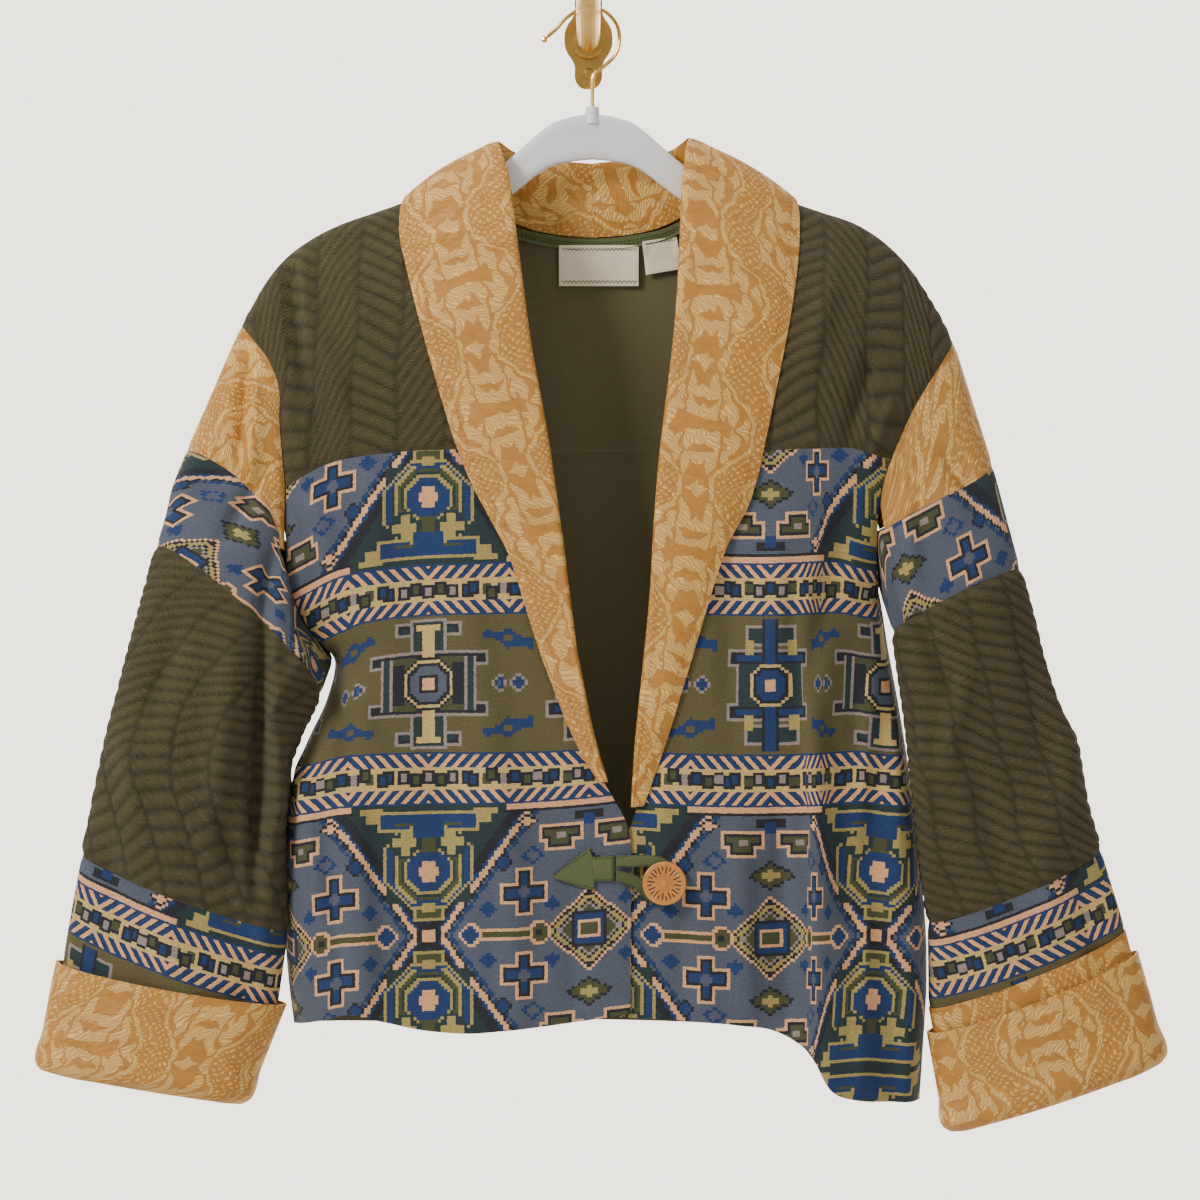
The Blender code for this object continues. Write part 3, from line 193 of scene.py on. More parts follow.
# Folds of the panels, each a soft ridge (or trough, below 0) along a line:
# x0, z0, x1, z1, width, height
BODY_FOLDS = [
    (176, -500, 190, -870, 15, 11),
    (212, -470, 240, -870, 17, -9),
    (140, -560, 150, -810, 16, -6),
    (-232, -530, -200, -800, 18, 7),
    (-170, -560, -150, -810, 20, -6),
    (-90, -600, -84, -812, 22, 5),
    (-262, -240, -222, -330, 9, -6),
    (100, -640, 96, -800, 20, 5),
]
BACK_FOLDS = [(-150, -480, -170, -812, 26, 4), (20, -420, 10, -812, 34, 4), (170, -480, 195, -860, 26, 4)]
SLEEVE_FOLDS = [
    (-252, -470, -272, -690, 13, -8),
    (-276, -290, -286, -380, 10, -6),
    (-360, -560, -330, -650, 20, 4),
    (330, -520, 350, -680, 22, -5),
    (268, -360, 296, -330, 12, -4),
]

# Closure
BUTTON_CENTRE = (61.0, -687.0)
BUTTON_RADIUS = 17.5
RIM_ROUND = 1.6
BUTTON_RINGS = (3.3, 5.6, 15.4)  # radii of the turned rings
BUTTON_SPOKES = 24
DASH_DEPTH = 0.55
TAB_OUTLINE = [(-30, -683), (1, -658), (4, -666), (22, -665), (22, -686), (5, -686), (5, -694)]
LOOP_PATH = [
    (22.5, -670.2), (46, -669), (61, -672), (71, -680), (71, -693),
    (61, -700), (50, -697), (40, -687), (22.5, -681.2),
]
LOOP_WIDTH = 9.6

# Labels and tape inside the back, as (x, z) corners
MAIN_LABEL = [(-24, -171), (41, -171), (41, -204), (-24, -204)]
CARE_LABEL = [(44, -168), (72, -164), (76, -190), (47, -195)]

# Hanger: distance from its middle, top, bottom and half thickness
HANGER_X = 3.4
HANGER_RIGHT = [
    (0, -66, -103, 5), (18, -68.5, -105, 5), (38, -77, -111, 5), (72, -106, -136, 4.5),
    (106, -130, -154, 4), (154, -149, -166, 3.5), (200, -166, -178, 3), (212, -173, -179, 2),
]
HANGER_SOCKET = (5.6, -60.0, -72.0)  # stub radius, top, bottom
WIRE_RADIUS = 1.6

# Charts of the tapestry cloth, painted in cells across 130 mm and mirrored at both ends
YARN_SCREEN = {
    "R": (18, 52, 104), "D": (80, 88, 106), "P": (228, 172, 124), "N": (24, 28, 40), "O": (70, 74, 44),
    "H": (170, 152, 88), "T": (30, 50, 54), "L": (146, 132, 128), "B": (112, 92, 58), "F": (92, 84, 50),
    "Y": (206, 178, 112),
}
CELL = 2.4
REPEAT = 130.0
FIELD_AXIS = 189.5  # the pattern mirrors about this height, measured down from the yoke seam
FIELD_TOP = 98.0  # from the axis to the big field
FIELD_HALF = 105.5
OLIVE_HALF = 55.5
STRIPE_END = 19.6
BLOCK_HALF = 9.0
STRIPE_PITCH = 10.0
CHEVRON = 65.0
PICK_PITCH = 1.3
CREPE_PITCH = 1.7
TWILL_PITCH = 1.1
RAMP_STOPS = 32

# Shape, centre across and down, then its layers as two half sizes and a yarn. "slope" starts at its
# first number and leans by a layer's first size, with its second as width; "inside" fills what lies
# before such a line.
FIELD_SHAPES = (
    ("slope", 17, 0, [(0.72, 1.7, "R")]), ("slope", 12.6, 0, [(0.72, 1.7, "N")]),
    ("inside", 8, 0, [(0.72, 0, "N")]), ("slope", 9, 0, [(0.72, 2.6, "P")]),
    ("slope", 5, 0, [(0.72, 1.4, "R")]), ("block", 0, 64, [(34, 38, "T")]),
    ("inside", -6, 0, [(0.72, 0, "T")]),
    ("octagon", 0, 58, [(36, 50, "H"), (33.4, 47, "R"), (30, 43, "T")]),
    ("octagon", 0, 52, [(26.5, 38, "H"), (24, 35, "O")]), ("block", 0, 32, [(9, 5, "R"), (6.5, 2.6, "O")]),
    ("octagon", 0, 52, [(21, 29, "T"), (18.4, 26, "H"), (16, 23, "R")]), ("cross", 0, 52, [(8, 3.8, "P")]),
    ("block", 0, 73, [(8, 6, "O")]), ("cross", 19, 76, [(13, 6.2, "T"), (10.5, 3.8, "H")]),
    ("block", 0, 93, [(40, 8.6, "H"), (37.5, 6.2, "R")]), ("block", 0, 84, [(14, 5, "H"), (11.5, 5, "R")]),
    ("block", 19, 89, [(8, 1.4, "O")]), ("block", 46, 101, [(10, 3, "H")]),
    ("block", 46, 95, [(5, 4, "H")]), ("block", 0, 18, [(13, 6, "H"), (10, 3.6, "O")]),
    ("block", 0, 23, [(5, 3, "H")]), ("cross", 0, 0, [(9, 5.5, "N")]), ("block", 0, 0, [(6, 5, "P")]),
    ("diamond", 130, 0, [(39, 34, "P"), (36, 31.5, "N"), (33, 28.5, "H"), (29.5, 25, "N"),
      (27, 23, "L"), (24, 20, "O")]),
    ("block", 130, 0, [(15, 14, "N"), (13, 12, "R"), (8.6, 8, "P"), (6.2, 5.6, "O")]),
    ("cross", 77, 33, [(19, 8, "P"), (16.6, 5.6, "N"), (14.4, 3.2, "R"), (5, 2.4, "D")]),
    ("block", 62, 0, [(32, 5, "P"), (30, 2.4, "O")]), ("octagon", 90, 0, [(9, 13, "P"), (6.4, 9, "O")]),
    ("block", 90, 0, [(2.4, 2.4, "N")]), ("octagon", 34, 0, [(9, 12, "P"), (6.4, 9, "R")]),
    ("block", 107, 79, [(19, 7, "P")]), ("block", 107, 74, [(12, 9, "P")]),
    ("block", 107, 79, [(16.6, 4.6, "N")]), ("block", 107, 74, [(9.6, 6.6, "N")]),
    ("block", 107, 79, [(14.2, 2.4, "O")]), ("block", 107, 74, [(7.2, 4.6, "O")]),
    ("block", 107, 77, [(2.6, 2.6, "L")]),
    ("diamond", 130, 50, [(20, 12, "N"), (17, 9.6, "O"), (9, 5, "H")]),
    ("diamond", 60, 58, [(8, 8, "N"), (5.6, 5.6, "R")]), ("diamond", 84, 62, [(10, 8, "R"), (6, 4.8, "D")]),
    ("diamond", 100, 22, [(7, 6, "R")]), ("diamond", 48, 20, [(8, 7, "R")]),
    ("block", 130, 92, [(12, 3, "N")]), ("block", 130, 88, [(6, 5, "R")]),
    ("diamond", 80, 90, [(9, 6, "N"), (6, 3.6, "P")]), ("block", 118, 103, [(56, 2.9, "P")]),
    ("block", 118, 100, [(58, 1.2, "N")]),
)
OLIVE_SHAPES = (
    ("block", 0, 44.5, [(27, 6.4, "L"), (25, 4, "N"), (22, 2.4, "T")]),
    ("block", 0, 30, [(15, 22, "L"), (12.4, 20, "T")]), ("block", 0, 20, [(48, 5.4, "L"), (45.6, 3, "N")]),
    ("block", 0, 10, [(38, 12, "L"), (35, 12, "T"), (31, 12, "L"), (28.6, 12, "O")]),
    ("block", 24, 8, [(4, 8, "N")]), ("block", 0, 33, [(4, 14, "Y")]), ("block", 0, 46, [(9, 1.4, "Y")]),
    ("octagon", 0, 0, [(21, 30, "N"), (19, 27.5, "Y"), (16.4, 24.6, "N"), (14, 20, "D")]),
    ("block", 0, 0, [(6.4, 6.4, "N"), (5.4, 5.4, "P")]),
    ("block", 130, 40, [(22, 9, "L"), (19.6, 6.6, "T")]),
    ("block", 130, 22, [(36, 8, "L"), (33.6, 5.6, "N"), (30, 3, "R")]),
    ("block", 130, 8, [(28, 10, "L"), (25.6, 10, "T")]), ("block", 130, 26, [(7, 26, "N"), (4.8, 26, "R")]),
    ("octagon", 130, 0, [(18, 26, "Y"), (15.6, 23, "N"), (13, 18, "R")]), ("block", 130, 0, [(6, 6, "P")]),
    ("block", 112, 30, [(3, 5, "H")]), ("diamond", 57, 0, [(7.4, 8.4, "L"), (5, 6, "R"), (1.6, 2, "D")]),
    ("diamond", 72, 0, [(7.4, 8.4, "L"), (5, 6, "R"), (1.6, 2, "D")]),
    ("diamond", 64, 36, [(12, 8.4, "R")]), ("block", 53, 39.5, [(9, 2.5, "R")]),
    ("block", 75, 32.5, [(9, 2.5, "R")]), ("block", 47, 42, [(2.4, 2.4, "R")]),
    ("block", 81, 30, [(2.4, 2.4, "R")]), ("diamond", 64, 36, [(5, 3.4, "F")]),
)
BORDER_SHAPES = tuple(
    ("block", x, y, [(4.6, 5.4, "N"), (2.6, 3.4, yarn)])
    for x, y, yarn in (
        (0, 7, "L"), (10, 11, "O"), (19, 8, "L"), (31, 7, "R"), (36, 11, "R"), (47, 9, "O"), (51, 6, "O"),
        (60, 9, "L"), (70, 8, "R"), (79, 11, "O"), (88, 7, "L"), (97, 10, "R"), (102, 7, "R"), (112, 10, "O"),
        (121, 8, "L"), (129, 11, "R"),
    )
)


# The solids' outlines, as grids of points


def smooth_curve(points, steps=24):
    """A fine polyline through the points (uniform Catmull-Rom)."""
    pts = np.array(points, float)
    padded = np.vstack([2 * pts[0] - pts[1], pts, 2 * pts[-1] - pts[-2]])
    fine = []
    for i in range(1, len(padded) - 2):
        a, b, c, d = padded[i - 1 : i + 3]
        for t in np.linspace(0, 1, steps, endpoint=False):
            square = (2 * a - 5 * b + 4 * c - d) * t**2
            cube = (3 * b - a - 3 * c + d) * t**3
            fine.append(0.5 * (2 * b + (c - a) * t + square + cube))
    fine.append(pts[-1])
    return np.array(fine)


def lengths_along(line):
    """Distance of each point of a line from its first one."""
    return np.concatenate([[0], np.cumsum(np.linalg.norm(np.diff(line, axis=0), axis=1))])


def read_along(wanted, length, values):
    """Rows of values at the wanted distances along a line."""
    return np.stack([np.interp(wanted, length, values[:, k]) for k in range(values.shape[1])], axis=1)


def at_fractions(points, fractions, smooth=True):
    """Points at fractions of the curve's length."""
    fine = smooth_curve(points) if smooth else np.array(points, float)
    length = lengths_along(fine)
    return read_along(np.array(fractions) * length[-1], length, fine)


def coons(top, bottom, left, right, across, down):
    """A patch between four outlines, as rows of (x, z)."""
    u, v = np.array(across)[None, :, None], np.array(down)[:, None, None]
    ruled = (1 - v) * top + v * bottom + (1 - u) * left[:, None] + u * right[:, None]
    return ruled - (1 - v) * ((1 - u) * top[0] + u * top[-1]) - v * ((1 - u) * bottom[0] + u * bottom[-1])


def quarter(distance, reach):
    """0 at an edge, rising to 1 as a quarter ellipse does, squared."""
    t = np.clip(distance / reach, 0, 1)
    return 1 - (1 - t) ** 2


def ridge_profile(drop):
    """Share of a panel's depth at a drop below the shoulder ridge."""
    return np.sin(math.pi / 2 * np.clip(drop / RIDGE_ROUND, 0, 1)) ** RIDGE_POWER


def armhole_depth(rows, full):
    """Half depth of the armhole tube from the shoulder tip (0) to the underarm (1)."""
    t = np.abs(2 * np.array(rows) - 1)
    return full * np.sqrt(np.clip(1 - t**2.4, 0, 1))


def side_fractions():
    """Share of the armhole's length at each row from the shoulder tip to the underarm."""
    high = [0.48 * f for f in YOKE_ROWS]
    low = [0.48 + 0.52 * f for f in ARMHOLE_ROWS[1:]]
    return high + low


def smooth_share(t):
    """0 to 1 with soft ends."""
    t = np.clip(t, 0, 1)
    return t * t * (3 - 2 * t)


def fold_height(x, z, folds, fade=SMALL_FADE, end=1.0):
    """Height of a table of folds at every point. Each runs out at its two ends."""
    total = np.zeros(np.shape(x))
    for x0, z0, x1, z1, width, height in folds:
        dx, dz = x1 - x0, z1 - z0
        length = math.hypot(dx, dz)
        t = ((x - x0) * dx + (z - z0) * dz) / length**2
        across = ((x - x0) * dz - (z - z0) * dx) / length
        ends = [1 / (1 + np.exp(np.clip(fade * v, -40, 40))) for v in (-t, t - end)]
        total += height * np.exp(-((across / width) ** 2)) * ends[0] * ends[1]
    return total


def body_grid(outline, first_row, depth, armhole, facing, folds, underlap=False):
    """Outer points of one half or whole panel. facing is -1 for a front and 1 for a back."""
    x, z = outline[..., 0], outline[..., 1]
    drop = np.full(x.shape, RIDGE_ROUND) if first_row else z[:1] - z
    edge = armhole_depth(side_fractions()[first_row:][: len(x)], armhole)
    edge = np.pad(edge, (0, len(x) - len(edge)))[:, None]
    inset = np.abs(x - x[:, :1])
    if facing > 0:
        inset = np.minimum(inset, np.abs(x - x[:, -1:]))
    grown = np.maximum((depth * ridge_profile(drop)) ** 2 - edge**2, 0)
    half = np.sqrt(edge**2 + grown * quarter(inset, SIDE_ROUND))
    fade = smooth_share(inset / FOLD_INSET) * smooth_share(drop / FOLD_INSET)
    half += fold_height(x, z, folds, FOLD_FADE, FOLD_END) * fade
    y = HANG_PLANE_Y + facing * half
    if underlap:
        low, high = UNDERLAP_REACH
        below = smooth_share((UNDERLAP_TOP - z) / UNDERLAP_DROP)
        y += UNDERLAP * below * (1 - smooth_share((x - low) / (high - low)))
    return np.stack([x, y, z], axis=-1)


def front_panels(ridge, high, low, side_line, seam, neck_high, neck_low, edge, hem, underlap):
    """Yoke and body of one front. Columns run from the armhole to the neckline."""
    seam_line = at_fractions(seam, ACROSS)
    high, neck = at_fractions(high, YOKE_ROWS), at_fractions(neck_high, YOKE_ROWS)
    yoke = coons(at_fractions(ridge, ACROSS), seam_line, high, neck, ACROSS, YOKE_ROWS)
    left = np.vstack([at_fractions(low, ARMHOLE_ROWS), at_fractions(side_line, SIDE_ROWS)[1:]])
    right = np.vstack([at_fractions(neck_low, NECK_ROWS_LOW), at_fractions(edge, EDGE_ROWS)[1:]])
    down = np.linspace(0, 1, len(left))
    body = coons(seam_line, at_fractions(hem, ACROSS), left, right, ACROSS, down)
    shared = (FRONT_DEPTH, ARMHOLE_FRONT, -1, BODY_FOLDS, underlap)
    return body_grid(yoke, 0, *shared), body_grid(body, len(YOKE_ROWS) - 1, *shared)


def back_panels():
    """Yoke and body of the back. Columns run from the right armhole to the left one."""
    neck = at_fractions(BACK_NECKLINE, np.linspace(0, 1, BACK_NECK_COLUMNS + 1))
    top = np.vstack([at_fractions(RIDGE_RIGHT, ACROSS), neck[1:], at_fractions(RIDGE_LEFT, ACROSS)[::-1][1:]])
    across = (top[:, 0] - top[0, 0]) / (top[-1, 0] - top[0, 0])
    at_neck = slice(len(ACROSS) - 1, len(ACROSS) + BACK_NECK_COLUMNS)
    across[at_neck] = np.linspace(*across[at_neck][[0, -1]], BACK_NECK_COLUMNS + 1)
    high = [at_fractions(line, YOKE_ROWS) for line in (ARMHOLE_RIGHT_HIGH, ARMHOLE_LEFT_HIGH)]
    seam, hem = at_fractions(BACK_YOKE_SEAM, across), at_fractions(BACK_HEM, across)
    yoke = coons(top, seam, *high, across, YOKE_ROWS)
    low = [
        np.vstack([at_fractions(armhole, ARMHOLE_ROWS), at_fractions(side, SIDE_ROWS)[1:]])
        for armhole, side in ((ARMHOLE_RIGHT_LOW, SIDE_RIGHT), (ARMHOLE_LEFT_LOW, SIDE_LEFT))
    ]
    body = coons(seam, hem, *low, across, np.linspace(0, 1, len(low[0])))
    shared = (BACK_DEPTH, ARMHOLE_BACK, 1, BACK_FOLDS)
    yoke_points = body_grid(yoke, 0, *shared)
    # at the neck the drop counts from the ridge's height, not from the scooped edge
    drop = BACK_NECKLINE[0][1] - yoke[:, at_neck, 1]
    yoke_points[:, at_neck, 1] = HANG_PLANE_Y + BACK_DEPTH * ridge_profile(drop)
    return yoke_points, body_grid(body, len(YOKE_ROWS) - 1, *shared)


def armhole_ring(front_yoke, front_body, back_yoke, back_body, back_column):
    """The shared seam loop: down the front, then up the back."""
    last = len(ARMHOLE_ROWS) - 1
    front = [*front_yoke[:, 0], *front_body[1 : last + 1, 0]]
    back = [*back_yoke[:, back_column], *back_body[1 : last + 1, back_column]]
    return np.array(front + back[-2:0:-1])


def sleeve_ring(row, count):
    """An oval ring with the same count of points as the armhole."""
    outer, inner = np.array(row[:2], float), np.array(row[2:4], float)
    middle_y, half_depth, bow = row[4:]
    chord = inner - outer
    normal = np.array([chord[1], -chord[0]]) / np.linalg.norm(chord)
    if normal[1] < 0:
        normal = -normal
    angle = math.pi * np.arange(count) / (count // 2)
    share, front = ((1 - np.cos(angle)) / 2)[:, None], np.maximum(np.sin(angle), 0)
    flat = outer + chord * share + normal * bow * front[:, None]
    height = fold_height(flat[:, 0], flat[:, 1], SLEEVE_FOLDS, FOLD_FADE, FOLD_END) * front
    return np.stack([flat[:, 0], middle_y - half_depth * np.sin(angle) - height, flat[:, 1]], axis=1)


def cap_ring(seam, armhole, band):
    """The cap's lower seam, with the armhole's own points below the cap's end."""
    count = len(armhole)
    ring = armhole.copy()
    fractions = np.array(side_fractions())
    line = at_fractions(seam, fractions[: CAP_ROW + 1] / fractions[CAP_ROW])
    for j, (x, z) in enumerate(line):
        for index in {j, (count - j) % count}:
            depth = (1 - CAP_END_SHARE) * armhole[index, 1] + CAP_END_SHARE * band[index, 1]
            ring[index] = (x, depth, z)
    return ring


def blend_rings(first, second, steps):
    return [first + (second - first) * t for t in np.linspace(0, 1, steps + 1)]


def sleeve_pieces(side, table, cap_seam, armhole):
    """Grids of one sleeve's five pieces. Rows run down the sleeve, columns round it."""
    count = len(armhole)
    rings = {name: sleeve_ring(row, count) for name, row in table.items()}
    cap_end = cap_ring(cap_seam, armhole, rings["band"])
    around = [(CAP_ROW - k) % count for k in range(2 * CAP_ROW + 1)]
    band, upper, elbow, low, border, cuff_top, end = rings.values()
    seam_ring = cuff_top + sleeve_direction(table) * BORDER_UNDER_CUFF[side]
    return {
        "sleeve_cap": ([ring[around] for ring in blend_rings(armhole, cap_end, 4)], False, "damask"),
        "sleeve_band": (blend_rings(cap_end, band, 4), True, "kilim"),
        "sleeve_lower": ([band, (band + upper) / 2, upper, elbow, low, border], True, "matelasse"),
        "sleeve_border": (blend_rings(border, seam_ring, 4), True, "kilim"),
        "cuff": (cuff_rings(seam_ring, cuff_top, end), True, "damask"),
    }


def sleeve_direction(table):
    """The sleeve's way down at the cuff."""
    step = (np.array(table["end"][:4], float) - table["cuff"][:4]).reshape(2, 2).mean(axis=0)
    step /= np.linalg.norm(step)
    return np.array([step[0], 0.0, step[1]])


def cuff_rings(seam_ring, cuff_top, end):
    """Down the inside, round the fold and up the turned-back layer."""
    axis = end.mean(axis=0) - cuff_top.mean(axis=0)
    axis /= np.linalg.norm(axis)

    def spread(ring, distance):
        out = np.cross(np.roll(ring, -1, axis=0) - np.roll(ring, 1, axis=0), axis)
        out /= np.linalg.norm(out, axis=1)[:, None]
        out *= np.sign((out * (ring - ring.mean(axis=0))).sum(axis=1))[:, None]
        return ring + out * distance

    fold = spread(end, CUFF_LAYER / 2) + axis * CUFF_LAYER / 2
    outer = blend_rings(spread(end, CUFF_LAYER), spread(cuff_top, CUFF_LAYER), 3)
    return [*blend_rings(seam_ring, end, 3), fold, *outer]


class Surface:
    """The outer or inner side of some panels, read along Y, whichever way a face is split."""

    def __init__(self, grids, facing):
        points, faces = [], []
        for grid in grids:
            rows, columns = grid.shape[:2]
            base = len(points)
            points += [Vector(p) for p in grid.reshape(-1, 3)]
            for j in range(rows - 1):
                for i in range(columns - 1):
                    a = base + j * columns + i
                    b, c, d = a + 1, a + columns + 1, a + columns
                    faces += [(a, b, c), (a, c, d), (a, b, d), (b, c, d)]
        self.tree = BVHTree.FromPolygons(points, faces)
        self.facing = facing

    def hit(self, x, z):
        """y at (x, z), or None where there is no panel."""
        found = self.tree.ray_cast(Vector((x, 400 * self.facing, z)), Vector((0, -self.facing, 0)))[0]
        return None if found is None else found.y

    def depth(self, x, z):
        """y at (x, z), or that of the nearest point where there is no panel."""
        y = self.hit(x, z)
        if y is None:
            y = self.tree.find_nearest(Vector((x, HANG_PLANE_Y + self.facing * 20, z)))[0].y
        return y


def cross_edge(row, edge_line):
    """Where a panel's row line meets the collar's outer edge, seen from the front."""
    best = None
    for a, b in zip(row[:-1], row[1:]):
        for p, q in zip(edge_line[:-1], edge_line[1:]):
            r = np.array([b[0] - a[0], b[2] - a[2]])
            s = q - p
            cross = r[0] * s[1] - r[1] * s[0]
            if abs(cross) < 1e-9:
                continue
            d = p - np.array([a[0], a[2]])
            t = (d[0] * s[1] - d[1] * s[0]) / cross
            u = (d[0] * r[1] - d[1] * r[0]) / cross
            if -1e-6 <= t <= 1 + 1e-6 and -1e-6 <= u <= 1 + 1e-6:
                best = a + (b - a) * t
    if best is None:
        seam = row[-1]
        end = min((edge_line[0], edge_line[-1]), key=lambda p: abs(p[1] - seam[2]))
        best = np.array([end[0], seam[1], end[1]])
    return best


def front_station(seam, row, edge_line, roll_line, front, sign):
    """Stand, roll and fall of the collar at one row of the front."""
    edge = cross_edge(row, edge_line)
    drop = RIDGE_RIGHT[-1][1] - seam[2]
    roll_z = seam[2] + STAND_HEIGHT_AT_SHOULDER * (1 - smooth_share(drop / STAND_DROP))
    roll_x = float(np.interp(-roll_z, [-z for _, z in roll_line], [x for x, _ in roll_line]))
    swell = FALL_BULGE * min(1, abs(roll_x - edge[0]) / 70)
    return collar_section(seam, (roll_x, roll_z), edge, edge_line[0][1] - edge[2], front, -1, sign, swell)


def back_station(seam, edge, roll, back, sign, ridge_z):
    """The same round the back of the neck, where the fall hangs behind."""
    edge_point = np.array([edge[0], back.depth(edge[0], min(edge[1], ridge_z - 1)), edge[1]])
    return collar_section(seam, roll, edge_point, ridge_z - edge[1], back, 1, sign, BACK_FALL_BULGE)


def collar_section(seam, roll, edge, edge_drop, panel, facing, sign, swell):
    """Points from the neck seam up the stand, round the roll and down the fall."""
    over = 1 - smooth_share(edge_drop / RIDGE_REACH)
    turn = np.array([SHOULDER_TURN[0] * sign * over, facing * (1 - over), SHOULDER_TURN[1] * over])
    turn /= np.linalg.norm(turn)
    foot = seam - turn * WALL / 2
    top = np.array([roll[0], foot[1], roll[1]])
    rise = top - foot
    points = [
        foot + rise / np.linalg.norm(rise) * SEAM_GAP,
        foot + STAND_MIDDLE * rise,
        top + turn * ROLL_TURN,
        top - 0.1 * rise + 2 * turn * ROLL_TURN,
    ]
    gap = FALL_CLEARANCE + (RIDGE_CLEARANCE - FALL_CLEARANCE) * over
    start = points[-1]
    for t in FALL_SHARES:
        point = start + (edge + turn * gap - start) * t + turn * swell * math.sin(math.pi * t)
        if over < 0.98:
            hit = panel.hit(point[0], point[2])
            if hit is not None:
                limit = hit + facing * (gap + swell * math.sin(math.pi * t) * 0.5)
                point[1] = min(point[1], limit) if facing < 0 else max(point[1], limit)
        points.append(point)
    return points


def away_from_hanger(point, _grid):
    return np.array([0, point[1] - HANG_PLANE_Y, 0])


def away_from_middle(point, grid):
    return point - grid[1].mean(axis=0)


def oriented(grid, outward):
    """Flips a grid's columns if its faces look the wrong way."""
    grid = np.array(grid, float)
    rows, columns = grid.shape[:2]
    j, i = 1, columns // 4
    normal = np.cross(grid[j, i + 1] - grid[j, i], grid[j - 1, i] - grid[j, i])
    if normal @ outward(grid[j, i], grid) > 0:
        return grid[:, ::-1].copy()
    return grid


def collar_mid(outlines, yoke, body, back_yoke, neck_columns, sign):
    """One half of the shawl collar, from its point at the front to the centre back seam."""
    edge_front, edge_back, roll_front, roll_back = outlines
    front, back = Surface([yoke, body], -1), Surface([back_yoke], 1)
    edge_line = smooth_curve(edge_front)
    rows = [*body[1 : len(NECK_ROWS_LOW)][::-1], *yoke[::-1]]
    stations = [front_station(row[-1], row, edge_line, roll_front, front, sign) for row in rows]
    seams = at_fractions(back_yoke[0, neck_columns], COLLAR_BACK_SEAM, smooth=False)
    edges = at_fractions(edge_back, COLLAR_BACK_EDGE)
    rolls = at_fractions(roll_back, COLLAR_BACK_SEAM)
    for seam, edge, roll in zip(seams, edges, rolls):
        stations.append(back_station(seam, edge, roll, back, sign, edge_back[0][1]))
    mid = np.array(stations)
    mid[0] = mid[0] + (mid[1] - mid[0]) * POINT_SHARE
    mid[-1, :, 0] = CENTRE_X
    return mid


# Finer cloth on the solids' own form

SPACING = {"matelasse": 2.3, "kilim": 4.0, "damask": 3.4}
SEAM_DIP = 1.1
SEAM_REACH = 4.5
SHELL = 1.4  # thickness of the cloth
INSIDE_RAISED = 0.25  # what the quilting's shade reads on the inner side
CLOTH_SHARP, BUTTON_SHARP, HANGER_SHARP = 52, 60, 50  # degrees that stay an edge

# Small folds: x0, z0, x1, z1, width, height (a trough below 0)
FRONT_FOLDS = np.array([
    (-243, -185, -232, -262, 6, -3.0), (-231, -180, -222, -270, 7, 2.4), (164, -480, 172, -800, 7, -3.6),
    (-222, -380, -206, -430, 9, 2.6), (-214, -520, -188, -600, 8, -2.6),
    (-236, -255, -214, -330, 7, -3.0), (-222, -232, -196, -300, 8, 2.2), (-250, -300, -226, -352, 6, 2.4),
    (-118, -150, -140, -200, 9, -1.8), (-206, -188, -176, -240, 11, 1.6), (-228, -420, -190, -560, 10, -2.8),
    (-206, -500, -150, -640, 13, 2.4), (-150, -420, -120, -600, 18, -2.0), (-96, -460, -70, -640, 15, 2.0),
    (-214, -640, -196, -790, 9, -2.6), (-186, -600, -176, -790, 12, 2.8), (-118, -620, -112, -800, 13, -2.4),
    (-62, -640, -58, -800, 12, 2.2), (-14, -700, -10, -795, 10, -1.8), (-240, -560, -214, -700, 7, 2.0),
    (226, -268, 210, -330, 8, -2.8), (196, -200, 178, -270, 10, 1.8), (244, -300, 226, -350, 6, 2.2),
    (120, -160, 140, -215, 10, -1.6), (206, -400, 178, -520, 11, -2.6), (160, -390, 140, -560, 16, 2.2),
    (110, -420, 118, -560, 12, -1.8), (228, -520, 216, -650, 8, 2.6), (196, -560, 204, -700, 7, -2.4),
    (246, -560, 250, -700, 7, 2.0), (154, -640, 160, -800, 7, -3.0), (120, -640, 128, -800, 11, 2.0),
    (78, -700, 74, -796, 11, -2.0), (58, -600, 64, -700, 10, 1.4), (258, -720, 254, -860, 8, 2.6),
    (224, -700, 216, -862, 7, 2.4), (-176, -355, -166, -420, 12, 1.6), (90, -350, 100, -430, 12, 1.4),
], float)
BACK_SMALL_FOLDS = np.array([
    (-228, -260, -206, -330, 8, -2.6), (-160, -180, -150, -300, 16, 1.6), (-60, -200, -66, -330, 20, -1.4),
    (70, -210, 80, -330, 18, 1.5), (224, -270, 206, -330, 8, -2.6), (-214, -400, -180, -600, 12, -3.0),
    (-120, -400, -130, -700, 18, 2.6), (-60, -460, -70, -800, 15, -2.8), (60, -420, 50, -760, 16, 2.8),
    (100, -500, 112, -800, 13, -2.8), (206, -420, 190, -640, 12, 3.0), (228, -600, 236, -850, 10, -3.0),
    (-206, -620, -196, -798, 10, 3.0), (-20, -600, -24, -800, 14, 2.2), (146, -600, 150, -815, 10, 2.4),
], float)
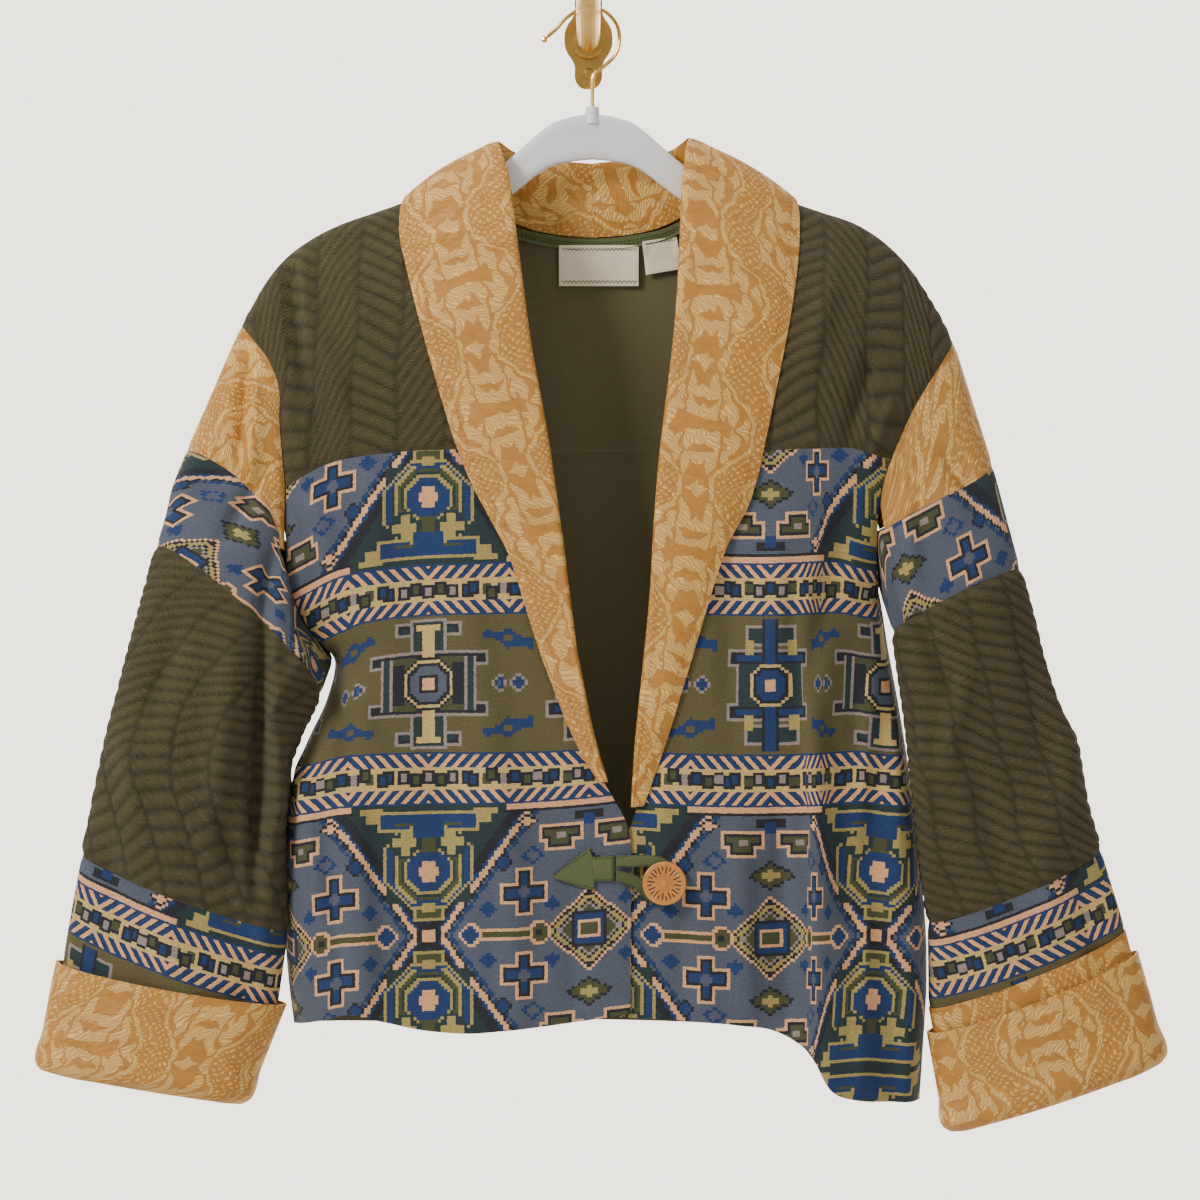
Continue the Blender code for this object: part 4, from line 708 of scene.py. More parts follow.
ARM_FOLDS = np.array([
    (-259, -470, -268, -690, 6, -5.0), (-248, -470, -257, -690, 8, 3.4), (-276, -255, -280, -345, 6, -4.4),
    (-268, -280, -270, -360, 7, 2.6),
    (-262, -360, -292, -410, 7, -3.0), (-300, -330, -330, -380, 10, 2.6), (-250, -420, -262, -470, 6, -2.4),
    (-228, -500, -256, -560, 8, 2.8), (-284, -500, -300, -640, 11, 3.0), (-330, -480, -352, -560, 12, -2.6),
    (-372, -560, -360, -640, 11, 2.4), (-246, -560, -256, -650, 5, 2.6), (-300, -620, -280, -680, 10, -2.6),
    (-390, -650, -376, -720, 12, -2.2), (-276, -690, -262, -740, 8, 2.4), (-340, -700, -330, -770, 14, 2.2),
    (-420, -760, -410, -840, 14, -1.6), (-320, -770, -326, -850, 16, 1.6), (-276, -770, -290, -850, 9, -1.8),
    (286, -340, 318, -390, 9, -2.8), (256, -380, 262, -450, 6, 2.6), (300, -430, 330, -480, 12, 2.2),
    (262, -470, 290, -540, 8, -3.2), (300, -520, 286, -600, 9, 2.8), (352, -500, 366, -600, 14, -2.4),
    (388, -560, 380, -640, 11, 2.4), (268, -560, 276, -640, 6, 2.4), (310, -600, 330, -670, 11, -2.8),
    (360, -640, 372, -720, 12, 2.2), (290, -690, 300, -760, 9, -2.2), (400, -690, 410, -760, 12, -2.0),
    (330, -770, 336, -850, 15, 1.6), (440, -770, 436, -840, 13, -1.4), (300, -800, 304, -880, 8, -1.8),
], float)


def finer(grid, spacing, first=0, last=None):
    """More rows, on smooth curves through the rows from first to last."""
    step = np.linalg.norm(np.diff(grid, axis=0), axis=2)
    place = np.concatenate([[0], np.cumsum(step.mean(axis=1) + 1e-6)])
    last = len(grid) - 1 if last is None else last
    parts = [
        np.linspace(place[k], place[k + 1], max(1, math.ceil(step[k].max() / spacing)), endpoint=False)
        for k in range(first, last)
    ]
    wanted = np.concatenate([*parts, place[last : last + 1]])
    slope = np.gradient(grid, place, axis=0)
    k = np.clip(np.searchsorted(place, wanted, side="right") - 1, 0, len(place) - 2)
    span = (place[k + 1] - place[k])[:, None, None]
    t = (wanted - place[k])[:, None, None] / span
    rise = slope[k] * span * t * (1 - t) ** 2 - slope[k + 1] * span * t * t * (1 - t)
    return grid[k] * (1 + 2 * t) * (1 - t) ** 2 + grid[k + 1] * t * t * (3 - 2 * t) + rise


def refine(grid, closed, spacing):
    """A finer grid both ways. A closed one keeps its loop, without a doubled last column."""
    grid = np.array(grid, float)
    columns = grid.shape[1]
    if closed:
        grid = np.concatenate([grid[:, -2:], grid, grid[:, :3]], axis=1)
        turned = finer(grid.transpose(1, 0, 2), spacing, 2, columns + 2)[:-1]
    else:
        turned = finer(grid.transpose(1, 0, 2), spacing)
    return finer(turned.transpose(1, 0, 2), spacing)


def fine_normals(grid, closed):
    """Unit normals, outwards for a grid turned by oriented."""
    across = np.roll(grid, -1, axis=1) - np.roll(grid, 1, axis=1) if closed else np.gradient(grid, axis=1)
    normal = np.cross(across, np.gradient(grid, axis=0))
    length = np.linalg.norm(normal, axis=2, keepdims=True)
    return normal / np.maximum(length, 1e-9)


def spans(grid, closed):
    """Distance along each row from its first point, and down each column from the top."""
    rows, columns = grid.shape[:2]
    across = np.zeros((rows, columns))
    across[:, 1:] = np.cumsum(np.linalg.norm(np.diff(grid, axis=1), axis=2), axis=1)
    down = np.zeros((rows, columns))
    down[1:] = np.cumsum(np.linalg.norm(np.diff(grid, axis=0), axis=2), axis=0)
    full = across[:, -1:] + (np.linalg.norm(grid[:, :1] - grid[:, -1:], axis=2) if closed else 0)
    return across, down, full


def quilting(across, down, stripe, chevron):
    """Puffed slanting ridges in upright stripes, 0 to 1. A chevron mirrors every other stripe."""
    bent = across + 4.0 * np.sin(down / 47.0 + 0.7) + 1.5 * np.sin(down / 13.0 + across / 47.0)
    number = np.floor(bent / stripe)
    off = bent / stripe - number
    odd = np.mod(number, 2)
    lean = np.where(odd > 0, -0.85, 0.85) if chevron else np.where(odd > 0, 0.62, 0.95)
    slant = lean * np.where(odd > 0, off - 1, off) * stripe if chevron else lean * off * stripe + 5.0 * number
    drift = 1.4 * np.sin(across / 17.0 + down / 37.0) + 3.0 * np.sin(down / 61.0 + across / 83.0)
    phase = (down + slant + drift) / QUILT_PITCH
    share = phase - np.floor(phase)
    puff = np.sin(math.pi * share) ** 0.6
    spine = np.minimum(off, 1 - off) * stripe
    return puff * (1 - 0.6 * np.exp(-((spine / 2.0) ** 2)))


def cloth(node, slot, grid, closed, height, across, down, raised, thick=SHELL):
    """A thin shell: its outer side on the grid raised by height, its inner side following the troughs."""
    normals = fine_normals(grid, closed)
    outer = grid + normals * height[..., None]
    inner = grid + normals * (np.minimum(height, 0)[..., None] - thick)
    made = shell(f"{node}_cloth", slot, outer, inner, closed, across, down, raised)
    settle_sheet(made, slot, node, grid, closed)


def place_mesh(name, slot, points, faces, sharp=None):
    """A new object in the scene from points in millimetres, shaded smooth up to the sharp angle."""
    mesh = bpy.data.meshes.new(name)
    mesh.from_pydata((np.array(points) * MM).tolist(), [], faces)
    mesh.shade_smooth()
    if sharp:
        mesh.set_sharp_from_angle(angle=math.radians(sharp))
    made = bpy.data.objects.new(name, mesh)
    bpy.context.collection.objects.link(made)
    mesh.materials.append(MATERIALS[slot])
    return made


def quads_of(rows, columns, closed):
    """Faces between the rows of a grid, as an array of rows by columns by corners."""
    j, i = np.meshgrid(np.arange(rows - 1), np.arange(columns if closed else columns - 1), indexing="ij")
    k = (i + 1) % columns
    return np.stack([j * columns + i, j * columns + k, (j + 1) * columns + k, (j + 1) * columns + i], axis=-1)


def shell(name, slot, outer, inner, closed, across, down, raised):
    """Outer and inner side of a piece of cloth joined by its rims, with its fabric coordinates."""
    rows, columns = outer.shape[:2]
    offset = rows * columns
    quads = quads_of(rows, columns, closed).reshape(-1, 4)
    index = np.arange(offset).reshape(rows, columns)
    along = np.concatenate([index, index[:, :1]], axis=1) if closed else index
    rims = [along[0], along[-1, ::-1]]
    if not closed:
        rims += [index[::-1, 0], index[:, -1]]
    ends = [np.stack([r[:-1], r[1:], r[1:] + offset, r[:-1] + offset], axis=-1) for r in rims]
    faces = np.concatenate([quads[:, ::-1], quads + offset, *ends])
    points = np.concatenate([outer.reshape(-1, 3), inner.reshape(-1, 3)])
    made = place_mesh(name, slot, points, faces.tolist(), CLOTH_SHARP)
    corners = faces.ravel() % offset
    u, v = across.ravel()[corners], down.ravel()[corners]
    if closed:
        whole = float(across.max())
        by_face = u.reshape(-1, 4)
        torn = by_face.max(axis=1) - by_face.min(axis=1) > whole / 2
        by_face[torn[:, None] & (by_face < whole / 2)] += whole
        u = by_face.ravel()
    mesh = made.data
    layer = mesh.uv_layers.new(name="cloth")
    layer.data.foreach_set("uv", np.stack([u, v], axis=1).ravel() / UV_UNIT)
    # raised is the quilting's height; the matelasse material also reads it to paint light on the puffs and
    # shade in the channels.
    values = mesh.attributes.new("raised", "FLOAT", "POINT")
    values.data.foreach_set("value", np.concatenate([raised.ravel(), np.full(offset, INSIDE_RAISED)]))
    if slot != "damask":
        mesh.materials.append(MATERIALS["crepe_inside"])
        sides = np.zeros(len(faces), dtype=np.int32)
        sides[len(quads) : 2 * len(quads)] = 1
        mesh.polygons.foreach_set("material_index", sides)
    return made


def settle(made, slot, *nodes):
    """Attaches a piece to the root body and hides the CAD nodes it stands for. Its slot is not used."""
    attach(made, "root")
    if nodes:
        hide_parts(*nodes)


def measured_grid(coarse, closed, spacing):
    """A finer grid with its distances across and down, and the distance to its nearest border."""
    grid = refine(coarse, closed, spacing)
    across, down, _ = spans(grid, closed)
    edge = np.minimum(down, down[-1:] - down)
    if not closed:
        edge = np.minimum(edge, np.minimum(across, across[:, -1:] - across))
    return grid, across, down, edge


def settle_sheet(made, slot, node, grid, closed):
    """Attaches a piece of cloth and hides its node. Works out the flat width, length and area of its grid, in
    metres, which nothing uses.
    """
    settle(made, slot, node)
    _, down, full = spans(grid, closed)
    ahead = np.roll(grid, -1, axis=1) - grid if closed else np.diff(grid, axis=1)
    below = np.diff(grid, axis=0)
    area = np.linalg.norm(np.cross(ahead[:-1], below[:, : ahead.shape[1]]), axis=2).sum() * MM * MM
    width, length = float(full.max()) * MM, float(down[-1].max()) * MM
    area = min(float(area), width * length)


def panel_piece(name, slot, coarse, facing):
    """A front or back panel with its small folds, seam dips and fabric coordinates."""
    grid, across, down, edge = measured_grid(coarse, False, SPACING[slot])
    folds = FRONT_FOLDS if facing < 0 else BACK_SMALL_FOLDS
    sides = np.minimum(across, across[:, -1:] - across)
    free = np.minimum(sides, down) if "yoke" in name else sides
    height = FOLD_GAIN * fold_height(grid[..., 0], grid[..., 2], folds) * smooth_share(free / FOLD_FREE)
    height -= SEAM_DIP * np.exp(-((edge / SEAM_REACH) ** 2))
    anchor_x, anchor_u = ANCHORS[name]
    run = across.copy()
    forward = grid[0, -1, 0] > grid[0, 0, 0]
    for j, row in enumerate(grid):
        x = row[:, 0] if forward else row[::-1, 0]
        length = run[j] if forward else run[j, -1] - run[j, ::-1]
        here = length - np.interp(anchor_x, x, length) + anchor_u
        if name == "front_body_left":
            here += FOLD_CLOTH * smooth_share((x - FOLD_X[0]) / (FOLD_X[1] - FOLD_X[0]))
        run[j] = here if forward else here[::-1]
    if slot == "matelasse":
        # The quilting both lifts the cloth and, through raised, paints its light on the puffs and shade in
        # the channels.
        raised = quilting(run * side_sign(grid), down, YOKE_STRIPE, True)
        height += YOKE_QUILT * raised * np.clip(edge / QUILT_REACH, 0, 1)
    else:
        raised = np.clip(0.5 + height / 6, 0, 1)
    cloth(name, slot, grid, False, height, run, down, raised)


def side_sign(grid):
    """1 where the front of a grid runs to the viewer's right along its rows, otherwise -1."""
    row = grid[len(grid) // 2]
    front = int(row[:, 1].argmin())
    front = min(max(front, 1), len(row) - 2)
    return 1 if row[front + 1, 0] > row[front - 1, 0] else -1


def sleeve_piece(name, slot, coarse, closed, side, piece):
    """One piece of a sleeve, the same way."""
    grid, across, down, edge = measured_grid(coarse, closed, SPACING[slot])
    free = {"sleeve_cap": down, "cuff": edge}.get(piece, np.full(edge.shape, FOLD_FREE))
    height = FOLD_GAIN * fold_height(grid[..., 0], grid[..., 2], ARM_FOLDS) * smooth_share(free / FOLD_FREE)
    if piece != "cuff":
        height -= SEAM_DIP * np.exp(-((edge / SEAM_REACH) ** 2))
    raised = np.clip(0.5 + height / 6, 0, 1)
    if slot == "matelasse":
        lean = 1 if side == "right" else -1
        raised = quilting(across * side_sign(grid) * lean, down, SLEEVE_STRIPE, False)
        height += SLEEVE_QUILT * raised * np.clip(edge / QUILT_REACH, 0, 1)
    elif piece == "cuff":
        height *= CUFF_SHARE
    cloth(name, slot, grid, closed, height, across + SLEEVE_SHIFT[side], down + SLEEVE_START[piece], raised)


def collar_piece(name, mid, flip):
    """Collar half with a rolled, slightly wavy edge. Returns its grid and heights for the stitching."""
    grid, across, down, edge = measured_grid(mid if flip else mid[:, ::-1], False, SPACING["damask"])
    height = 0.5 * np.sin(down / 33.0) * np.clip(edge / 20, 0, 1) + 0.35 * (1 - np.exp(-((edge / 5) ** 2)))
    raised = np.clip(0.5 + height / 4, 0, 1)
    cloth(name, "damask", grid, False, height, across, down, raised, COLLAR_WALL * 0.75)
    return grid, height


ANCHORS = {
    "front_yoke_right": (-150, 0), "front_yoke_left": (150, 0), "back_yoke": (3, 0),
    "front_body_right": (-128, 0), "front_body_left": (146, 130), "back_body": (3, 0),
}
QUILT_PITCH = 11.5
YOKE_STRIPE = 38.0
SLEEVE_STRIPE = 33.0
YOKE_QUILT = 1.5
SLEEVE_QUILT = 1.7
QUILT_REACH = 6.0  # the quilting flattens this near to a seam
CUFF_SHARE = 0.4  # how much of the folds the doubled cuff shows
FOLD_GAIN = 2.3
FOLD_FREE = 24.0
FOLD_X = (166.0, 196.0)
FOLD_CLOTH = 26.0  # cloth taken up by the big fold
SLEEVE_START = {"sleeve_cap": 0, "sleeve_band": 306, "sleeve_lower": 0, "sleeve_border": 73, "cuff": 0}
SLEEVE_SHIFT = {"right": 40, "left": 25}


# Procedural materials. Fabric coordinates come from the UV map.


def one_node(operation):
    """A method that puts one Math node on a value."""
    return lambda self, other=None: self.graph.math(operation, self, other)


class Value:
    """A socket that can be added, multiplied and compared, each step one Math node."""

    def __init__(self, graph, socket):
        self.graph = graph
        self.socket = socket

    __add__, __sub__ = one_node("ADD"), one_node("SUBTRACT")
    __mul__, __truediv__ = one_node("MULTIPLY"), one_node("DIVIDE")
    over, under = one_node("GREATER_THAN"), one_node("LESS_THAN")
    magnitude, wave, highest = one_node("ABSOLUTE"), one_node("SINE"), one_node("MAXIMUM")
    folded = one_node("PINGPONG")  # mirrors at each multiple of the second value

    def saw(self, period):
        """Share of the period, 0 to 1."""
        return self.graph.math("FRACT", self / period)

    def cycles(self, pitch):
        """Angle that turns once in each pitch."""
        return self * (2 * math.pi / pitch)


class Graph:
    """A material's nodes, with the few kinds that the cloth needs."""

    def __init__(self, name):
        self.material = bpy.data.materials.new(name)
        self.material.use_nodes = True
        self.nodes = self.material.node_tree.nodes
        self.links = self.material.node_tree.links
        self.shader = self.nodes["Principled BSDF"]

    def put(self, node, key, value):
        socket = node.inputs[key]
        if isinstance(value, Value):
            self.links.new(value.socket, socket)
        elif isinstance(value, (tuple, list)) and len(value) == 3 and socket.type == "RGBA":
            socket.default_value = (*value, 1)
        else:
            socket.default_value = value

    def math(self, operation, a, b=None, c=None):
        node = self.nodes.new("ShaderNodeMath")
        node.operation = operation
        for index, value in enumerate((a, b, c)):
            if value is not None:
                self.put(node, index, value)
        return Value(self, node.outputs[0])

    def uv(self):
        """Fabric coordinates across and down, in millimetres."""
        node = self.nodes.new("ShaderNodeUVMap")
        node.uv_map = "cloth"
        split = self.nodes.new("ShaderNodeSeparateXYZ")
        self.links.new(node.outputs[0], split.inputs[0])
        return Value(self, split.outputs[0]) * UV_UNIT, Value(self, split.outputs[1]) * UV_UNIT

    def noise(self, scale, across=None, down=None, detail=2.0, stretch=1.0):
        """Noise about 0.5, over the cloth where across and down are given, else in space."""
        node = self.nodes.new("ShaderNodeTexNoise")
        self.put(node, "Scale", scale)
        self.put(node, "Detail", detail)
        if across is not None:
            join = self.nodes.new("ShaderNodeCombineXYZ")
            self.put(join, 0, across * stretch)
            self.put(join, 1, down)
            self.links.new(join.outputs[0], node.inputs["Vector"])
        else:
            place = self.nodes.new("ShaderNodeTexCoord")
            self.links.new(place.outputs["Object"], node.inputs["Vector"])
        return Value(self, node.outputs["Fac"])

    def attribute(self, name):
        node = self.nodes.new("ShaderNodeAttribute")
        node.attribute_name = name
        return Value(self, node.outputs["Fac"])

    def mix(self, factor, first, second):
        node = self.nodes.new("ShaderNodeMix")
        node.data_type = "RGBA"
        self.put(node, 0, factor)
        self.put(node, 6, first)
        self.put(node, 7, second)
        return Value(self, node.outputs[2])

    def shade(self, colour, amount):
        """Multiplies a colour by a grey."""
        node = self.nodes.new("ShaderNodeVectorMath")
        node.operation = "SCALE"
        self.links.new(colour.socket, node.inputs[0])
        self.put(node, "Scale", amount)
        return Value(self, node.outputs[0])

    def steps(self, position, row):
        """Equal steps of yarn along 0 to 1."""
        node = self.nodes.new("ShaderNodeValToRGB")
        ramp = node.color_ramp
        ramp.interpolation = "CONSTANT"
        starts = [i for i, c in enumerate(row) if i == 0 or row[i - 1] != c]
        ramp.elements[0].position = 0
        ramp.elements.remove(ramp.elements[1])
        for i in starts[1:]:
            ramp.elements.new(i / len(row))
        for element, i in zip(ramp.elements, starts):
            element.color = (*YARN[row[i]], 1)
        self.put(node, 0, position)
        return Value(self, node.outputs[0])

    def finish(self, colour, roughness, height=None, depth=0.001, strength=1.0, **sockets):
        self.put(self.shader, "Base Color", colour)
        self.put(self.shader, "Roughness", roughness)
        for key, value in sockets.items():
            self.put(self.shader, key.replace("_", " "), value)
        if height is not None:
            bump = self.nodes.new("ShaderNodeBump")
            self.put(bump, "Height", height)
            self.put(bump, "Distance", depth)
            self.put(bump, "Strength", strength)
            self.links.new(bump.outputs[0], self.shader.inputs["Normal"])
        return self.material


def linear(red, green, blue):
    """Linear colour from 0 to 255 screen values."""
    return tuple(((v / 255 + 0.055) / 1.055) ** 2.4 for v in (red, green, blue))


YARN = {letter: linear(*screen) for letter, screen in YARN_SCREEN.items()}
OGEE_WIDTH = 84.0
OGEE_HEIGHT = 104.0
NET_PITCH = 6.5
LEAF_REACH = 25.0


def painted(height, ground, shapes):
    """A chart as rows of letters, its shapes painted one over another."""
    columns, rows = round(REPEAT / CELL), round(height / CELL)
    x, y = np.meshgrid((np.arange(columns) + 0.5) * REPEAT / columns, (np.arange(rows) + 0.5) * height / rows)
    cells = np.full((rows, columns), ground)
    for kind, across, down, layers in shapes:
        dx, dy = np.abs(x - across), np.abs(y - down)
        for a, b, yarn in layers:
            inside = {
                "block": (dx < a) & (dy < b),
                "cross": ((dx < a) & (dy < b)) | ((dx < b) & (dy < a)),
                "diamond": dx / a + dy / max(b, 0.1) < 1,
                "octagon": (np.maximum(dx, dy) < a) & (dx + dy < b),
                "slope": np.abs(x - across - a * y) < b,
                "inside": x < across + a * y,
            }[kind]
            cells[inside] = yarn
    return ["".join(row) for row in cells]


def chart(graph, rows, across, down, height):
    """Colours of a charted repeat, the first row at down 0."""
    found = None
    step = height / len(rows)
    place = across / REPEAT
    for index, row in enumerate(rows):
        line = charted_row(graph, row, place)
        found = line if found is None else graph.mix(down.over(index * step), found, line)
    return found


def charted_row(graph, row, place):
    """One row as a colour ramp, or two where it changes yarn too often for one."""
    changes = [i for i in range(1, len(row)) if row[i] != row[i - 1]]
    if len(changes) < RAMP_STOPS:
        return graph.steps(place, row)
    cut = changes[len(changes) // 2]
    first = graph.steps(place, row[:cut] + row[cut] * (len(row) - cut))
    second = graph.steps(place, row[cut] * cut + row[cut:])
    return graph.mix(place.over(cut / len(row)), first, second)


def kilim_colour(graph, across, down):
    """Bands of the tapestry cloth: big field, border, olive field, border, big field."""
    side = across.folded(REPEAT)
    away = (down - FIELD_AXIS).magnitude()
    from_middle = (away - (FIELD_TOP + FIELD_HALF)).magnitude().folded(FIELD_HALF)
    field = chart(graph, painted(FIELD_HALF, "D", FIELD_SHAPES), side, from_middle, FIELD_HALF)
    olive = chart(graph, painted(OLIVE_HALF, "F", OLIVE_SHAPES), side, away, OLIVE_HALF)
    middle = (FIELD_TOP + OLIVE_HALF) / 2
    off = (away - middle).magnitude()
    block_rows = painted(2 * BLOCK_HALF, "Y", BORDER_SHAPES)
    blocks = chart(graph, block_rows, side, away - (middle - BLOCK_HALF), 2 * BLOCK_HALF)
    slant = (across.folded(CHEVRON) * -1.0 + off * 0.9).saw(STRIPE_PITCH)
    stripes = graph.mix(slant.over(0.48), YARN["R"], YARN["P"])
    stripes = graph.mix((slant - 0.5).magnitude().under(0.06), stripes, YARN["N"])
    stripes = graph.mix(off.over(STRIPE_END), stripes, YARN["R"])
    border = graph.mix(off.over(BLOCK_HALF), blocks, stripes)
    inner = graph.mix(away.over(OLIVE_HALF), olive, border)
    return graph.mix(away.over(FIELD_TOP), inner, field)


def kilim():
    """Jacquard tapestry cloth: charted bands, each yarn slightly uneven, with a fine rib."""
    graph = Graph("kilim")
    across, down = graph.uv()
    wander = (graph.noise(0.35, across, down) - 0.5) * 1.5
    colour = kilim_colour(graph, across + wander, down + (graph.noise(0.3, down, across) - 0.5) * 1.5)
    pick = (down.cycles(PICK_PITCH) + (graph.noise(0.5, across, down) - 0.5) * 7).wave()
    slub = graph.noise(0.9, across, down, 3.0, 0.4)
    speck = graph.noise(1.3, across, down, 2.0).over(0.6)
    wear = graph.noise(0.02, across, down, 2.0)
    colour = graph.shade(colour, slub * 0.95 + 0.4 + pick * 0.1 + wear * 0.3 - speck * 0.2)
    height = pick * 0.35 + slub * 1.2 - speck * 0.3
    return graph.finish(colour, 0.85, height, 0.00045, 1.0, Sheen_Weight=0.05)


def matelasse():
    """Olive quilted cloth with a wavy crepe rib, with painted shade in its channels and painted light on its
    puffs.
    """
    graph = Graph("matelasse")
    across, down = graph.uv()
    raised = graph.attribute("raised")
    crepe = graph.noise(0.9, across, down, 3.0, 0.5)
    bend = (graph.noise(0.09, across, down) - 0.5) * 40 + (graph.noise(0.5, across, down) - 0.5) * 6
    rib = (down.cycles(CREPE_PITCH) + bend).wave()
    wide = graph.noise(0.012, across, down)
    # Painted light and shade: the quilting's raised value picks a shaded olive in the channels and a lit
    # olive on the puffs.
    colour = graph.mix(raised, linear(44, 40, 20), linear(78, 70, 42))
    colour = graph.shade(colour, crepe * 0.45 + wide * 0.25 + rib * 0.09 + 0.62)
    return graph.finish(colour, 0.9, crepe * 0.8 + rib * 0.5, 0.0006, 0.9, Sheen_Weight=0.05)


def damask():
    """Gold satin ground with paler netted ogees, leaves and scrolls."""
    graph = Graph("damask")
    across, down = graph.uv()
    bend = (graph.noise(0.016, across, down, 2.0) - 0.5) * 24.0
    across = across + bend + (graph.noise(0.07, across, down) - 0.5) * 12.0
    bend = (graph.noise(0.018, down, across, 2.0) - 0.5) * 24.0
    down = down + bend + (graph.noise(0.08, down, across) - 0.5) * 10.0
    column = graph.math("FLOOR", across / OGEE_WIDTH)
    side = across.folded(OGEE_WIDTH / 2)
    below = ((down / OGEE_HEIGHT + column * 0.5).saw(1.0) - 0.5) * OGEE_HEIGHT
    wide = (graph.math("COSINE", below.cycles(OGEE_HEIGHT)) * 0.5 + 0.5) * (OGEE_WIDTH * 0.34)
    depth = wide - side
    net, crossed = ((v.saw(NET_PITCH) - 0.5).magnitude() for v in (side + below, side - below))
    net = net + crossed
    leaf_x = side - OGEE_WIDTH * 0.32
    leaf_y = below.magnitude() - OGEE_HEIGHT * 0.28
    far = graph.math("SQRT", leaf_x * leaf_x + leaf_y * leaf_y)
    angle = graph.math("ARCTAN2", leaf_y, leaf_x)
    leaves = far.under(((angle * 5.0 + far * 0.16).wave() * 0.42 + 0.58) * LEAF_REACH)
    scroll = (angle * 2.0 + far * 0.33).wave().over(0.5) * far.under(LEAF_REACH * 1.6)
    netted = depth.over(3.0) * net.over(0.62)
    rim = depth.magnitude().under(2.2)
    spine = leaf_x.magnitude().under(1.1) * far.under(LEAF_REACH * 0.8)
    motif = netted.highest(rim).highest(depth.under(-4.0) * leaves.highest(scroll)) * (spine * -1.0 + 1.0)
    vein = (across.cycles(3.6) + down.cycles(2.9) + graph.noise(0.08, across, down) * 22).wave()
    pick = down.cycles(0.8).wave()
    slub = graph.noise(0.6, across, down, 3.0, 0.3)
    ground = graph.shade(graph.mix(slub, linear(172, 112, 34), linear(202, 140, 54)), slub * 0.3 + 0.85)
    figure = graph.shade(graph.mix(slub, linear(234, 172, 82), linear(252, 204, 116)), vein * 0.24 + 0.84)
    colour = graph.mix(motif, ground, figure)
    height = motif * 0.9 + vein * motif * 0.35 + pick * 0.15 + slub * 0.3
    return graph.finish(colour, 0.52, height, 0.0006, 1.0, Sheen_Weight=0.03)


def twill(name, colour):
    """Plain cloth with a slanted rib."""
    graph = Graph(name)
    across, down = graph.uv()
    rib = (across + down).cycles(TWILL_PITCH).wave()
    slub = graph.noise(0.5, across, down, 3.0)
    shown = graph.shade(graph.mix(slub, colour, tuple(c * 1.35 for c in colour)), rib * 0.06 + 0.9)
    return graph.finish(shown, 0.85, rib * 0.5 + slub, 0.0003, 0.8, Sheen_Weight=0.05)


def label_cloth():
    """Cream satin label with a fine weave."""
    graph = Graph("label_cloth")
    across, down = graph.uv()
    weave = across.cycles(0.9).wave() * down.cycles(0.7).wave()
    slub = graph.noise(0.5, across, down, 2.0)
    colour = graph.mix(slub, linear(236, 222, 190), linear(250, 240, 214))
    return graph.finish(colour, 0.6, weave * 0.5 + slub, 0.0002, 0.7)


def brass():
    """Polished brass with faint brushing and slight tarnish."""
    graph = Graph("brass")
    cloud = graph.noise(60.0, detail=4.0)
    grain = graph.noise(900.0, detail=2.0)
    colour = graph.mix(cloud, linear(196, 152, 74), linear(228, 192, 112))
    return graph.finish(colour, cloud * 0.14 + 0.17 + grain * 0.05, grain, 0.00002, 0.3, Metallic=1.0)


def hanger_plastic():
    """White moulded plastic with a soft gloss."""
    graph = Graph("hanger_plastic")
    orange = graph.noise(420.0, detail=2.0)
    cloud = graph.noise(14.0, detail=2.0)
    colour = graph.mix(cloud, linear(226, 228, 232), linear(240, 241, 244))
    return graph.finish(colour, cloud * 0.1 + 0.32, orange, 0.00004, 0.4, Coat_Weight=0.15)


def button_wood():
    """Varnished pale wood, burnt dark in its cuts."""
    graph = Graph("button_wood")
    cut = graph.attribute("cut")
    grain = graph.noise(240.0, detail=5.0)
    cloud = graph.noise(45.0, detail=2.0)
    ring = ((grain * 0.6 + cloud) * 26.0).wave()
    colour = graph.mix(grain, linear(190, 116, 44), linear(218, 150, 72))
    colour = graph.shade(colour, ring * 0.06 + 0.96)
    colour = graph.mix(cut, colour, linear(78, 38, 12))
    return graph.finish(colour, 0.36, grain, 0.00006, 0.5, Coat_Weight=0.3)


def thread(name, colour):
    graph = Graph(name)
    fibre = graph.noise(2600.0, detail=2.0)
    return graph.finish(graph.mix(fibre, colour, tuple(c * 1.3 for c in colour)), 0.6, fibre, 0.0001, 0.6)


def floor_paint():
    graph = Graph("floor")
    cloud = graph.noise(2.0, detail=2.0)
    return graph.finish(graph.mix(cloud, (0.83, 0.82, 0.80), (0.86, 0.85, 0.83)), 0.8)


# Stitches, button, loop and labels


def beads(name, slot, places, alongs, outs, half_length, half_width, lift):
    """Stitches as one joined mesh: at each place a small pointed bead that lies along the seam."""
    places, alongs, outs = (np.array(v, float) for v in (places, alongs, outs))
    alongs /= np.linalg.norm(alongs, axis=1, keepdims=True)
    outs /= np.linalg.norm(outs, axis=1, keepdims=True)
    sides = np.cross(alongs, outs)
    middle = places + outs * lift
    rings = []
    for share, swell in BEAD_RINGS:
        for up, over in BEAD_SECTION:
            offset = outs * (up * half_width * swell) + sides * (over * half_width * swell)
            rings.append(middle + alongs * (share * half_length) + offset)
    around, size = len(BEAD_SECTION), len(rings)
    one = quads_of(len(BEAD_RINGS), around, True).reshape(-1, 4)
    every = (one[None] + size * np.arange(len(places))[:, None, None]).reshape(-1, 4).tolist()
    for first in range(0, size * len(places), size):
        every.append(tuple(range(first + around - 1, first - 1, -1)))
        every.append(tuple(range(first + size - around, first + size)))
    made = place_mesh(name, slot, np.stack(rings, axis=1).reshape(-1, 3), every)
    made.data.validate()
    settle(made, THREAD_SLOT[slot])


